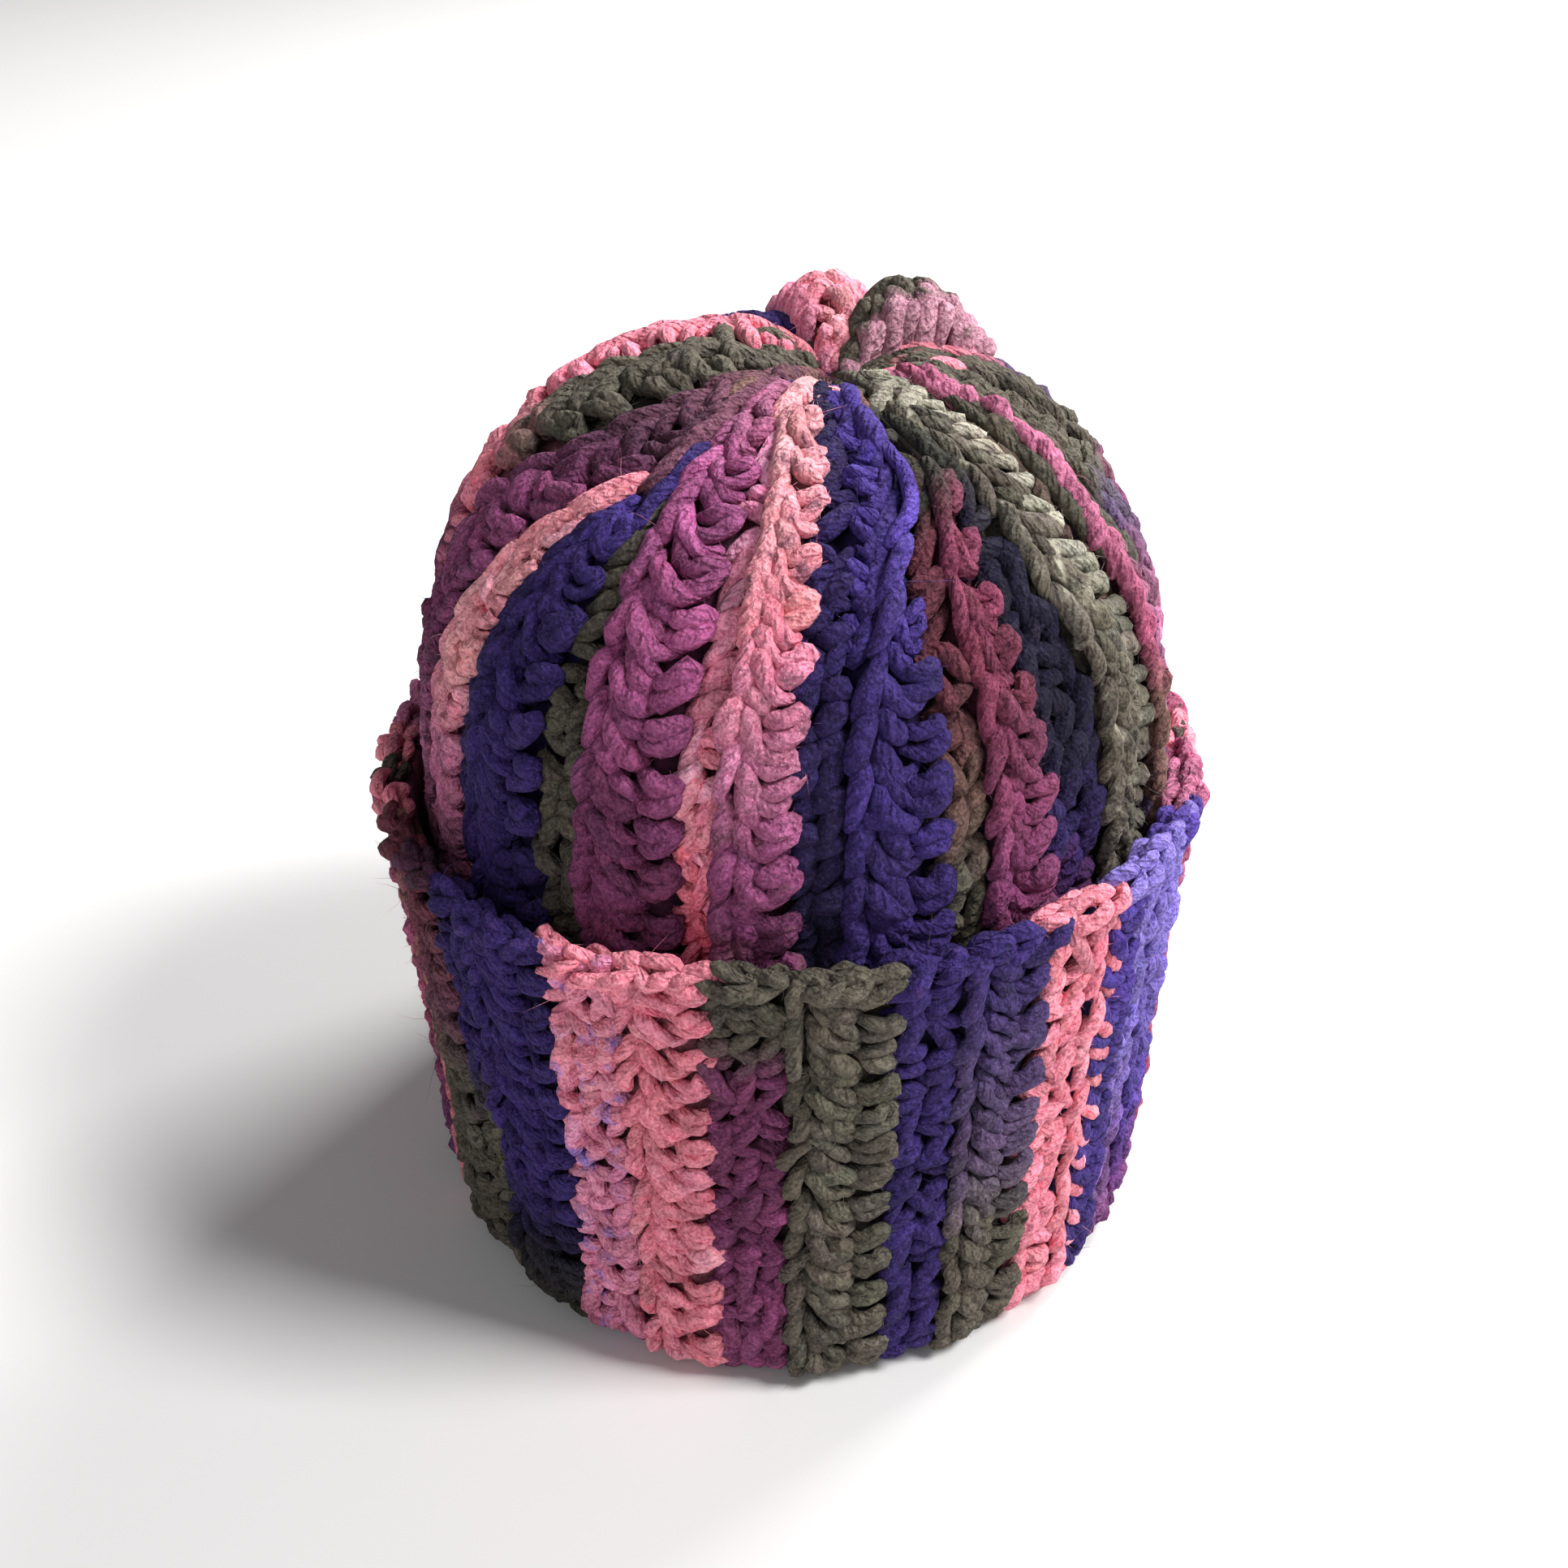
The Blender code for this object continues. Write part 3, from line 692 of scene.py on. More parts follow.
def yarnMaterial(name, look):
    material = bpy.data.materials.new(name)
    material.use_nodes = True
    nodes, link = material.node_tree.nodes, material.node_tree.links.new
    shader = nodes["Principled BSDF"]
    group = nodes.new("ShaderNodeGroup")
    group.node_tree = fibres
    for key in ("Contrast", "Twist", "Glint"):
        group.inputs[key].default_value = look[key.lower()]
    tint, fleck = nodes.new("ShaderNodeAttribute"), nodes.new("ShaderNodeAttribute")
    tint.attribute_name, fleck.attribute_name = "tint", "fleck"
    link(tint.outputs["Color"], group.inputs["Tint"])
    link(fleck.outputs["Color"], group.inputs["Fleck"])
    link(fleck.outputs["Alpha"], group.inputs["Fleck Amount"])
    bump = nodes.new("ShaderNodeBump")
    bump.inputs["Strength"].default_value = look["bump"]
    bump.inputs["Distance"].default_value = look["depth"]
    link(group.outputs["Height"], bump.inputs["Height"])
    link(group.outputs["Colour"], shader.inputs["Base Color"])
    link(group.outputs["Roughness"], shader.inputs["Roughness"])
    link(bump.outputs["Normal"], shader.inputs["Normal"])
    shader.inputs["Specular IOR Level"].default_value = 0.25
    shader.inputs["Sheen Weight"].default_value = look["sheen"]
    link(tint.outputs["Color"], shader.inputs["Sheen Tint"])
    shader.inputs["Sheen Roughness"].default_value = 0.5
    return material


roving = yarnMaterial("rovingYarn", {
    "contrast": 0.5,
    "twist": 0.8,
    # painted sheen on the fibre tips
    "glint": 0.55,
    "bump": 1.0,
    "depth": 0.0017,
    "sheen": 0.14,
})
backing = yarnMaterial("innerWool", {
    "contrast": 0.5,
    "twist": 0.2,
    "glint": 0.0,
    "bump": 0.6,
    "depth": 0.0006,
    "sheen": 0.02,
})


def stitchRows(ribCount, bottom, top, low, high):
    # each rib's stitches from the top down: place_i, with the length growing from low to high
    ribs, places, lengths = [], [], []
    for rib in range(ribCount):
        place = top - dice.uniform(0, 0.5 * high)
        while place > bottom:
            share = np.clip((place - bottom) / (top - bottom), 0, 1)
            size = (low + (high - low) * share) * dice.uniform(0.93, 1.07)
            ribs.append(rib)
            places.append(place)
            lengths.append(size)
            place -= size
    return np.array(ribs), np.array(places), np.array(lengths)


# The rope of a ridge: places are across the ridge, heights in metres
ropeLook = {
    "home": 0.15,
    "edge": 0.11,  # from its middle to where the other strands begin
    "split": 0.30,  # strands left of this place move with it
    "start": 0.26,  # and those right of it are spread from here
    "span": 0.79,
    "room": 0.94,
    "mirrored": 0.40,  # right of this place it has mirrored strands at its left
    "plain": 0.68,  # left of this place it has the plain ones at its right
    "mirroredRoom": 0.10,
    "plainRoom": 1.15,
    "mirroredDrop": 0.0026,
    # painted shade: mirrored strands lie lower and are darkened by this
    "mirroredShade": 0.75,
    "raise": 0.0015,
    "raiseFrom": 0.2,
    "raiseOver": 0.4,
}


def ropeShift(across, rope, mirrored):
    # moves a ridge's strands for a rope at another place: right of it they run out to the ridge's
    # edge, mirrored ones run from it out to the left edge
    r = ropeLook
    if mirrored:
        return (rope - r["edge"]) * (1 - (across - r["start"]) / r["span"])
    right = rope + r["edge"] + (r["room"] - rope) * (across - r["start"]) / r["span"]
    return np.where(across < r["split"], across + rope - r["home"], right)


def ropePlace(ropes, rib, share):  # where across its ridge each rib's rope runs
    rope = np.full(share.shape, ropeLook["home"])
    for number, knots in ropes.items():
        rows = rib == number
        rope[rows] = np.interp(share[rows], [k[0] for k in knots], [k[1] for k in knots])
    return rope


def heldPlace(across, held, ratio):
    # left: across * ratio; right: 1 - (1 - across) * ratio; middle: over the strip left between
    leftTaken, allTaken = 0.50, 0.98  # shares of the stitch that strands held at the edges take
    if held == "left":
        return across * ratio
    if held == "right":
        return 1 - (1 - across) * ratio
    return leftTaken * ratio + across * (1 - allTaken * ratio)


def strandStitches(name, zone, mirrored, column, rib, rope, columns, sizes):
    # which stitches have this strand, by the columns of the groove and the place of the rope
    if zone == 1:
        return columns > column
    tufted = np.isin(rib, sizes["tufted"])
    if name in ("tuft", "lowTuft"):
        return tufted & (not mirrored)
    if mirrored:
        chosen = (rope > ropeLook["mirrored"]) & (name != "rope")
    else:
        chosen = (rope < ropeLook["plain"]) | (name == "rope")
    return chosen & ~tufted if name == "loop" else chosen


def roughPoints(table, wobble, zone, sizes):
    # the table's points for every stitch, moved a little one by one and all together, then turned
    count = len(wobble)
    points = copies(table, count)
    shape = points.shape[:2]
    shaken = lambda each, whole: dice.normal(0, each, shape) + dice.normal(0, whole, (count, 1))
    across, down, height = sizes["rough"]
    points[..., 0] += shaken(across, across)
    points[..., 1] += shaken(down, down) + wobble
    points[..., 2] += shaken(height, height * (2 if zone else 1))
    points[..., 3] *= dice.normal(1, 0.07, shape) * dice.normal(1, 0.09, (count, 1))
    turn = dice.normal(0, sizes["turn"][zone], (count, 1))
    slide = (points[..., :2] - points[..., :2].mean(1, keepdims=True)) * turn[..., None]
    lengthInWidths, widthInLengths = 0.6, 1.6
    points[..., 0] -= slide[..., 1] * lengthInWidths
    points[..., 1] += slide[..., 0] * widthInLengths
    return points


def strandTint(run, ribs, spot, name, zone, sizes):
    # the run's colour at each place, times the strand's own tone and, in a groove, a painted shade, and the
    # colour of its flecks
    strandTone, channelTone, palest, fleckAmount = 0.14, 0.024, 0.95, 0.15
    number, count = ribs[:, 0], len(ribs)
    tint = runColour(run, ribs, spot)
    for own, names in sizes["ownColours"].items():
        if name in names:
            tint[number == own] = linear(names[name])
    tone = dice.normal(0, strandTone, (count, 1, 1)) + dice.normal(0, channelTone, (count, 1, 3))
    # painted shade: a groove's strands are darkened
    tint = tint * np.exp(tone) * (sizes["grooveShade"] if zone else 1)
    # these grooves' painted shade is lifted
    for own, pale in sizes["grooveShadeLift"].items():
        tint[number == own] *= pale if zone else 1
    tint = np.minimum(tint, palest)
    fleck = flecked(tint * (tint + 0.2), fleckAmount)
    for (where, own), (other, amount) in sizes["flecks"].items():
        if where == zone:
            fleck[number == own] = (*linear(other), amount)
    return tint, fleck


clearOfFloor = 1.14  # a strand's least height, in radii with room for its lumps
colourJitter = 0.015  # of the way up, so that a change of colour isn't a straight line
strandCopies = (  # mirrored and column of each copy, on the ridge and in the groove
    [(False, 0), (True, 0)],
    [(False, 0), (False, 1), (False, 2)],
)


def ribStrands(ribAt, rows, runs, sizes, bottom, top):
    # every strand of the stitch table on every stitch: weights @ points, then onto the surface
    rib, place, size = rows
    upwards = lambda along: np.clip((along - bottom) / (top - bottom), 0, 1)
    widths = lambda ribs, across, along: ribAt(ribs, across, np.minimum(along, top), 0 * along)[2]
    share = upwards(place)
    rope = ropePlace(sizes["ropes"], rib, share)
    wobble = dice.normal(0, sizes["rough"][1], (len(rib), 1))
    groove = widths(rib, np.full(len(rib), 1.5), place)
    columns = np.clip(np.round(groove / sizes["columnWidth"]), 1, 3)
    parts = {}
    for name, held, zone, samples, least, table in stitchStrands:
        for mirrored, column in strandCopies[zone]:
            chosen = strandStitches(name, zone, mirrored, column, rib, rope, columns, sizes)
            if not chosen.any():
                continue
            points = roughPoints(table, wobble[chosen], zone, sizes)
            if zone == 1:  # columns beside each other, every second one a quarter stitch lower
                points[..., 0] = 1 + (points[..., 0] + column + 0.5) / columns[chosen][:, None]
                points[..., 1] += 0.25 * (column % 2)
            line = curves(points, samples)
            across, height = line[..., 0], line[..., 2] * 0.001
            ribs = np.repeat(rib[chosen][:, None], samples, axis=1)
            along = place[chosen][:, None] - line[..., 1] * size[chosen][:, None]
            room = np.ones((len(points), 1))
            if zone == 0:
                ratio = sizes["stitchWidth"] / widths(ribs, np.full(across.shape, 0.5), along)
                across = heldPlace(across, held, np.clip(ratio, 0.35, 1))
                for number, reach in sizes["reach"].items():
                    right = (ribs == number) & (across > 0.5)
                    across = np.where(right, 0.5 + (across - 0.5) * reach, across)
                moved = ropePlace(sizes["ropes"], ribs, upwards(along))
                across = ropeShift(across, moved, mirrored)
                if mirrored:
                    height = height - ropeLook["mirroredDrop"]
                    room = rope[chosen][:, None] + ropeLook["mirroredRoom"]
                elif name != "rope":
                    room = ropeLook["plainRoom"] - rope[chosen][:, None]
                else:
                    raised = np.clip((moved - ropeLook["raiseFrom"]) / ropeLook["raiseOver"], 0, 1)
                    height = height + ropeLook["raise"] * raised
            else:
                height = height * sizes["groove"]
            centre, normal, width = ribAt(ribs, across, np.minimum(along, top), height)
            wide = np.median(width, axis=1) * room[:, 0]
            keep = wide > least * 0.001
            if held == "middle":  # only where the strip between has room for it
                keep = wide > sizes["stitchWidth"] + 0.002
            for number, end in sizes["tops"][zone].items():
                keep &= (rib[chosen] != number) | (share[chosen] < end)
            slim = np.clip(np.sqrt(wide / sizes["fullWidth"][zone]), *sizes["slim"])[:, None]
            radius = sizes["girth"] * line[..., 3] * slim * 0.5
            for number, bold in sizes["bold"].items():
                radius = np.where(ribs == number, radius * bold, radius)
            centre[..., 2] = np.maximum(centre[..., 2], radius * clearOfFloor)
            spot = upwards(along) + dice.normal(0, colourJitter, (len(points), 1))
            tint, fleck = strandTint(runs[zone], ribs, spot, name, zone, sizes)
            # painted shade on the lower, mirrored strands
            if mirrored:
                tint = tint * ropeLook["mirroredShade"]
            kept = [values[keep] for values in (centre, normal, radius, tint, fleck)]
            if keep.any():
                parts.setdefault(name, []).append(strandSkin(*kept, sizes["sides"][zone]))
    return parts


def strandsOf(parts, names):  # all strands of these names, in one list
    return [part for name in names for part in parts[name]]


def looseFibres(parts, look):
    # three-sided hairs from chosen points of the yarn: point + t L d + t^2 L bend. Short ones are
    # single spikes, long ones have a middle ring too, and all taper to a tip
    keys = ("points", "out", "tint", "exposed")
    points, out, tint, exposed = (np.concatenate([p[key] for p in parts]) for key in keys)
    shown = np.flatnonzero((exposed > look["exposed"]) & (points[:, 2] > look["lowest"]))
    hairs = []
    for long, n in enumerate(look["count"]):
        pick = dice.choice(shown, n, replace=False)
        mean = look["length"][long]
        length = np.minimum(dice.gamma(4.0, mean / 4, (n, 1)), mean * look["longest"])
        heading = unitVectors(out[pick] * look["outwards"][long] + dice.normal(0, look["astray"], (n, 3)))
        bend = (dice.normal(0, look["curl"], (n, 3)) + np.array([0, 0, look["droop"]])) * long
        root = points[pick] - out[pick] * look["rooted"]
        tip = root + (heading + bend) * length
        tip[:, 2] = np.maximum(tip[:, 2], look["clear"])
        side = unitVectors(np.cross(heading, np.roll(heading, 1, axis=1) + 0.01))
        rise = np.cross(side, heading)
        q = np.arange(3) * 2 * math.pi / 3
        ring = np.cos(q)[:, None] * side[:, None] + np.sin(q)[:, None] * rise[:, None]
        ring = ring * look["girth"][long] / 2
        rings = [root[:, None] + ring]
        if long:
            middle = root + (heading * 0.5 + bend * 0.25) * length
            middle[:, 2] = np.maximum(middle[:, 2], look["clear"])
            rings.append(middle[:, None] + ring * 0.8)
        skin = np.concatenate(rings + [tip[:, None]], axis=1)
        size, end = skin.shape[1], skin.shape[1] - 1
        quads = [(j, (j + 1) % 3, 3 + (j + 1) % 3, 3 + j) for j in range(3)][:3 * long]
        quads = np.array(quads, int).reshape(-1, 4)
        tris = np.array([(2, 1, 0)] + [(end - 3 + j, end - 3 + (j + 1) % 3, end) for j in range(3)])
        shift = (np.arange(n) * size)[:, None, None]
        # painted highlight: each hair paler than its yarn
        pale = tint[pick] * look["pale"] + look["highlightLift"]
        colour = np.repeat(pale[:, None], size, axis=1).reshape(-1, 3)
        hairs.append({
            "points": skin.reshape(-1, 3),
            "quads": (quads[None] + shift).reshape(-1, 4),
            "tris": (tris[None] + shift).reshape(-1, 3),
            "quadMap": np.zeros((n * len(quads) * 4, 2)),
            "triMap": np.zeros((n * len(tris) * 3, 2)),
            "tint": colour,
            "fleck": flecked(colour, 0),
        })
    return hairs


# The crown's strands. Pairs are for the ridge and the groove. Where keys are numbers they are the
# ribs', from the left of the front.
crownSizes = {
    "girth": 0.0046,
    "sides": (8, 7),
    "stitchWidth": 0.019,
    "columnWidth": 0.0060,
    "fullWidth": (0.018, 0.012),
    "slim": (0.86, 1.06),  # least and most girth on narrow and wide ribs
    "turn": (0.10, 0.40),
    "reach": {4: 1.16, 3: 0.98},  # how far the loops go to the right
    "tufted": (7, 8, 10),  # ribs with two tufts a stitch in place of its loop
    "bold": {4: 1.10, 6: 1.04, 7: 0.94},  # girth
    "groove": 0.90,  # depth, in shares of the stitch table's
    # painted shade in the grooves: their strands' tint times this
    "grooveShade": 0.8,
    # lifts the painted groove shade, here past the plain tint as painted light
    "grooveShadeLift": {3: 1.7},
    # rib 7: rope, leg and hook stay plain olive, while its loops and tufts on the right take the painted
    # highlight of its run
    "ownColours": {7: {"rope": "olive", "leg": "olive", "hook": "olive"}},
    "flecks": {  # (0 for its ridge or 1 for its groove, rib): colour and amount
        (0, 4): ("plumBrown", 0.3),
        (0, 0): ("darkPlum", 0.4),
        # painted highlight: flecks of lit olive on rib 7's ridge
        (0, 7): ("sage", 0.14),
    },
    "tops": ({1: 0.86, 2: 0.84}, {0: 0.90, 1: 0.86, 2: 0.84}),  # where the strands end
    "rough": (0.024, 0.042, 0.40),  # across, down and in mm over the surface
    "ropes": {5: [  # way up, and place across the ridge
        (0.32, 0.15), (0.40, 0.22), (0.48, 0.35), (0.55, 0.60),
        (0.66, 0.92), (0.75, 1.00), (0.90, 0.80), (1.0, 0.50),
    ]},
}
crownStitches = stitchRows(len(crownRibs), -0.030, crownTop - 0.003, 0.0114, 0.0132)
crownParts = ribStrands(crownRibAt, crownStitches, crownRuns, crownSizes, -0.024, crownTop - 0.001)
for name, strands in (
    ("crown_rib_cords", ("rope", "leg", "hook")),
    ("crown_rib_loops", ("loop", "knot", "twist", "tuft", "lowTuft")),
    ("crown_groove_strands", ("bead", "pebble")),
):
    buildPiece(name, strandsOf(crownParts, strands), roving, "crown")

# The cuff's strands
cuffSizes = {
    "girth": 0.0036,
    "sides": (8, 7),
    "stitchWidth": 0.0175,
    "columnWidth": 0.0062,
    "fullWidth": (0.019, 0.014),
    "slim": (0.84, 1.06),
    "turn": (0.12, 0.45),
    "reach": {},
    "tufted": (),
    "bold": {},
    "groove": 0.58,
    # painted shade in the grooves: their strands' tint times this
    "grooveShade": 0.92,
    # lifts the painted groove shade a little
    "grooveShadeLift": {1: 1.15},
    "flecks": {(1, 1): ("lilac", 0.22), (0, 2): ("deepSalmon", 0.30)},
    "tops": ({}, {}),
    "ownColours": {5: {"rope": "salmon", "hook": "salmon"}},
    "rough": (0.026, 0.052, 0.42),
    "ropes": {},
}
cuffStitches = stitchRows(len(cuffRibs), -0.006, cuffTop - 0.001, 0.0086, 0.0086)
cuffParts = ribStrands(cuffRibAt, cuffStitches, cuffRuns, cuffSizes, 0.0, cuffTop - 0.002)
for name, strands in (
    ("cuff_rib_cords", ("rope", "leg", "hook")),
    ("cuff_rib_loops", ("loop", "knot", "twist")),
    ("cuff_groove_strands", ("bead", "pebble")),
):
    buildPiece(name, strandsOf(cuffParts, strands), roving, "folded_cuff")

# The chain of stitches along the cuff's loose edge
edgeChain = {
    "stitches": 78,
    "girth": 0.0036,
    "colours": colourRun(  # from this angle on
        "-180 plum, -160 olive, -135 salmon, -118 plum, -104 mauve, -92 salmon, -84 olive, -78 salmon, "
        "-69 redBrown, -60 darkPlum, -52 indigo, -33.5 salmon, -11 olive, 12.5 indigo, 34 salmon, "
        "46 lilac, 60 violet, 70 pink, 86 salmon, 95 rose, 118 olive, 140 indigo, 160 plum"
    ),
    "strands": [  # points of (share of a stitch, mm out from the cuff's face, mm up from its edge, girth)
        [
            (-0.20, -3.2, -6.8, 0.50), (0.20, -1.3, -5.2, 1.02),
            (0.66, -1.2, -3.4, 1.10), (1.10, -3.6, -2.2, 0.60),
        ],
        [
            (-0.25, -6.2, -3.2, 0.50), (0.15, -4.2, -1.6, 1.04),
            (0.65, -3.6, -1.4, 1.06), (1.08, -4.6, -3.4, 0.60),
        ],
        [
            (-0.10, -7.6, -6.2, 0.50), (0.30, -8.0, -3.6, 1.00),
            (0.70, -7.6, -2.8, 1.02), (1.10, -6.4, -3.6, 0.60),
        ],
    ],
    "samples": 12,
    "lean": 0.6,  # of the strands' upper side, up from straight out
}


def chainStrands():
    # points round the edge: angle = stitch angle + share * step, out and up from the cuff's edge
    c = edgeChain
    n, m = c["stitches"], c["samples"]
    step = 360 / n
    parts = []
    starts = np.array([place for place, _ in c["colours"]])
    values = np.array([linear(name) for _, name in c["colours"]])
    for table in c["strands"]:
        points = copies(table, n)
        points[..., 0] += dice.normal(0, 0.08, points.shape[:2]) + dice.normal(0, 0.12, (n, 1))
        points[..., 1:3] += dice.normal(0, 0.5, points.shape[:2] + (2,)) + dice.normal(0, 0.5, (n, 1, 2))
        points[..., 3] *= dice.normal(1, 0.08, (n, 1))
        line = curves(points, m)
        angle = -180 + (np.arange(n)[:, None] + line[..., 0]) * step
        top, _ = cuffAt(angle, np.full(angle.shape, cuffTop), np.zeros(angle.shape))
        x, y = outwards(angle)
        out = np.stack([x, y, 0 * x], axis=-1)
        centre = top + out * line[..., 1:2] * 0.001
        centre[..., 2] += line[..., 2] * 0.001
        normal = unitVectors(out + np.array([0, 0, c["lean"]]))
        radius = c["girth"] * line[..., 3] * 0.5
        middle = angle[:, m // 2 - 1]
        place = np.searchsorted(starts, middle + dice.normal(0, 0.6, n)) - 1
        tint = values[place][:, None] * np.exp(dice.normal(0, 0.10, (n, 1, 1))) * np.ones((n, m, 1))
        other = values[(place + 1) % len(values)][:, None]
        parts.append(strandSkin(centre, normal, radius, tint, flecked(tint * 0.7 + other * 0.05, 0.15), 9))
    return parts


chainParts = chainStrands()
buildPiece("cuff_edge_chain", chainParts, roving, "folded_cuff")


def domeAlong(share):  # the way up to where the dome has this share of its width
    return np.interp(share, crownTable["share"][::-1], crownTable["along"][::-1])


# The puckers behind the gather: arcs of yarn over a swelling of the crown
puckers = {
    "gather_pucker_left": {
        "rise": 0.0106,
        "slot": "left_pucker_yarn",
        "rows": [  # share of the crown's width, left angle, right angle, share of the rise
            (0.05, 158, 184, 0.00), (0.10, 154, 191, 0.45),
            (0.16, 154, 195, 0.75), (0.23, 155, 196, 0.95),
            (0.31, 156.5, 196, 1.00), (0.40, 158.5, 195, 0.80),
            (0.50, 163, 191, 0.35), (0.60, 170, 184, 0.00),
        ],
        "pieces": 2,
        "arcs": 11,
        "tones": [(-1.0, "salmon"), (-0.2, "lightSalmon"), (0.4, "salmon"), (1.0, "blush")],
    },
    "gather_pucker_right": {
        "rise": 0.0128,
        "slot": "right_pucker_yarn",
        "rows": [
            (0.05, 113, 146, 0.00), (0.10, 111, 149, 0.45),
            (0.16, 109, 150, 0.78), (0.23, 108, 150.5, 0.95),
            (0.31, 108, 151, 1.00), (0.40, 109, 150, 0.82),
            (0.50, 113, 146, 0.40), (0.60, 120, 138, 0.00),
        ],
        "pieces": 3,
        "arcs": 11,
        "tones": [(-1.0, "dustyMauve"), (-0.45, "dustyMauve"), (-0.15, "olive"), (1.0, "olive")],
    },
}


puckerArcs = {
    "share": (0.075, 0.56),  # of the crown's width, the innermost and the outermost arc
    "samples": 12,
    "edge": 1.04,  # the strands run a little past the pucker's edge
    "overlap": 0.10,
    "bow": 0.045,
    "tilt": (0.012, 0.018),  # mean and spread
    "weave": 0.0012,
    "sink": 0.0026,
    "girth": 0.0054,
}


def puckerAt(look, across, share, lift):
    # crown point at middle angle + across * half the spread, up by the rise * the share's height *
    # (1 - |across|^2.6)^(1/2.6)
    bulge, clear = 2.6, 0.0003
    rows = np.array(look["rows"], float)
    left, right, high = (np.interp(share, rows[:, 0], rows[:, column]) for column in (1, 2, 3))
    a = np.clip(across, -1, 1)
    dome = (1 - np.abs(a) ** bulge) ** (1 / bulge)
    angle = (left + right) / 2 + (right - left) / 2 * a
    return crownAt(angle, domeAlong(share), clear + look["rise"] * high * dome + lift)


def puckerStrands(look):
    # arcs across the pucker, each bowed towards the gather and made of overlapping short strands
    p = puckerArcs
    n, m, pieces = look["arcs"], p["samples"], look["pieces"]
    parts = []
    base = np.linspace(*p["share"], n)[:, None]
    t = np.linspace(0, 1, m)[None, :]
    for piece in range(pieces):
        low = -p["edge"] + 2 * p["edge"] * piece / pieces - p["overlap"]
        high = -p["edge"] + 2 * p["edge"] * (piece + 1) / pieces + p["overlap"]
        across = low + (high - low) * t + dice.normal(0, 0.03, (n, 1))
        tilt = dice.normal(*p["tilt"], (n, 1)) * (1 if piece % 2 else -1)
        share = base - p["bow"] * across**2 + tilt * (t - 0.5) + dice.normal(0, 0.009, (n, 1))
        share = np.clip(share, 0.04, 0.60)
        weave = p["weave"] * np.sin(math.pi * (t * 2 + np.arange(n)[:, None] + piece))
        centre, normal = puckerAt(look, across, share, weave - p["sink"])
        girth = p["girth"] * (1 - 0.5 * np.abs(2 * t - 1) ** 3) * dice.normal(1, 0.12, (n, 1))
        tint = knotColour(look["tones"], across) * np.exp(dice.normal(0, 0.10, (n, 1, 1)))
        fleck = flecked(np.broadcast_to(linear(look["tones"][-1][1]), (n, m, 3)), 0.2)
        parts.append(strandSkin(centre, normal, girth / 2, tint, fleck, 9))
    return parts


puckerParts = {name: puckerStrands(look) for name, look in puckers.items()}
for name, look in puckers.items():
    buildPiece(name + "_strands", puckerParts[name], roving, name)

# Chunky ends drawn together round the gather, by angle and reach in mm from its middle
gatherEnds = [
    # colour, girth, lift in mm, points of (angle, reach)
    ("olive", 0.0050, 1.2, [(-129, 24), (-137, 18), (-142, 11)]),
    ("olive", 0.0050, 0.4, [(-108, 15), (-128, 10), (-145, 6)]),
    ("olive", 0.0046, -0.4, [(-50, 15), (-46, 10), (-80, 5)]),
    ("salmon", 0.0036, 1.5, [(171, 13), (160, 8), (130, 4)]),
    ("salmon", 0.0034, 1.0, [(-176, 12), (-170, 8), (-160, 4)]),
    ("brown", 0.0042, 0.0, [(20, 22), (17, 29), (20, 37)]),
    ("lightSalmon", 0.0050, 0.4, [(-12, 42), (-14, 34), (-10, 28), (-3, 31)]),
    ("lightSalmon", 0.0044, -0.2, [(-4, 31), (4, 25), (14, 30)]),
    ("pink", 0.0046, 0.0, [(44, 17), (54, 23), (56, 31)]),
    ("pink", 0.0050, 0.6, [(55, 28), (57, 35), (58, 42)]),
    ("salmon", 0.0046, 0.2, [(66, 26), (82, 31), (88, 40)]),
    # these two ends have the painted highlight of olive
    ("sage", 0.0054, 0.0, [(22, 35), (33, 29), (44, 27)]),
    ("sage", 0.0054, 0.2, [(30, 40), (40, 34), (52, 33)]),
    ("olive", 0.0050, 0.6, [(-93, 24), (-88, 18), (-55, 13)]),
    ("salmon", 0.0048, 2.2, [(-148, 36), (-128, 25), (-110, 18)]),
    ("brown", 0.0046, -0.2, [(-37, 35), (-43, 28), (-46, 22)]),
    ("brown", 0.0046, 0.0, [(-30, 33), (-34, 26), (-32, 20)]),
    ("olive", 0.0052, 1.2, [(-118, 36), (-92, 32), (-72, 33)]),
    ("olive", 0.0052, 1.4, [(-136, 36), (-106, 25), (-76, 22)]),
    ("plumBrown", 0.0046, 0.0, [(-57, 28), (-45, 33), (-37, 40)]),
    ("plumBrown", 0.0050, 0.4, [(-36, 63), (-34, 56), (-33, 49)]),
    ("indigo", 0.0046, 0.2, [(-33, 72), (-32, 65), (-31, 58)]),
    ("indigo", 0.0044, 0.1, [(-31.5, 62), (-31, 55), (-30.5, 48)]),
    ("plumBrown", 0.0052, 0.7, [(-35, 54), (-33, 46), (-32, 39)]),
    ("plumBrown", 0.0050, 0.8, [(-35, 43), (-33, 36), (-32, 29)]),
    ("darkPlum", 0.0046, 0.0, [(-39, 50), (-38, 42), (-39, 35)]),
    ("plumBrown", 0.0046, 0.6, [(-34, 32), (-33, 26), (-34, 20)]),
]


gatherLook = {
    "samples": 11,
    "domeReach": 99.8,  # mm, the dome's mean half width
    "raise": 1.2,  # mm
    "sink": 0.0022,  # of a strand's middle, and twice that at its ends
    "taper": 0.45,
    "ribGirth": 0.0043,
    "ribLift": -1.4,  # mm
    "ribEnds": [(6, 25, 9), (15, 21, 7)],  # degrees right of the rib's left edge, mm from and to
}


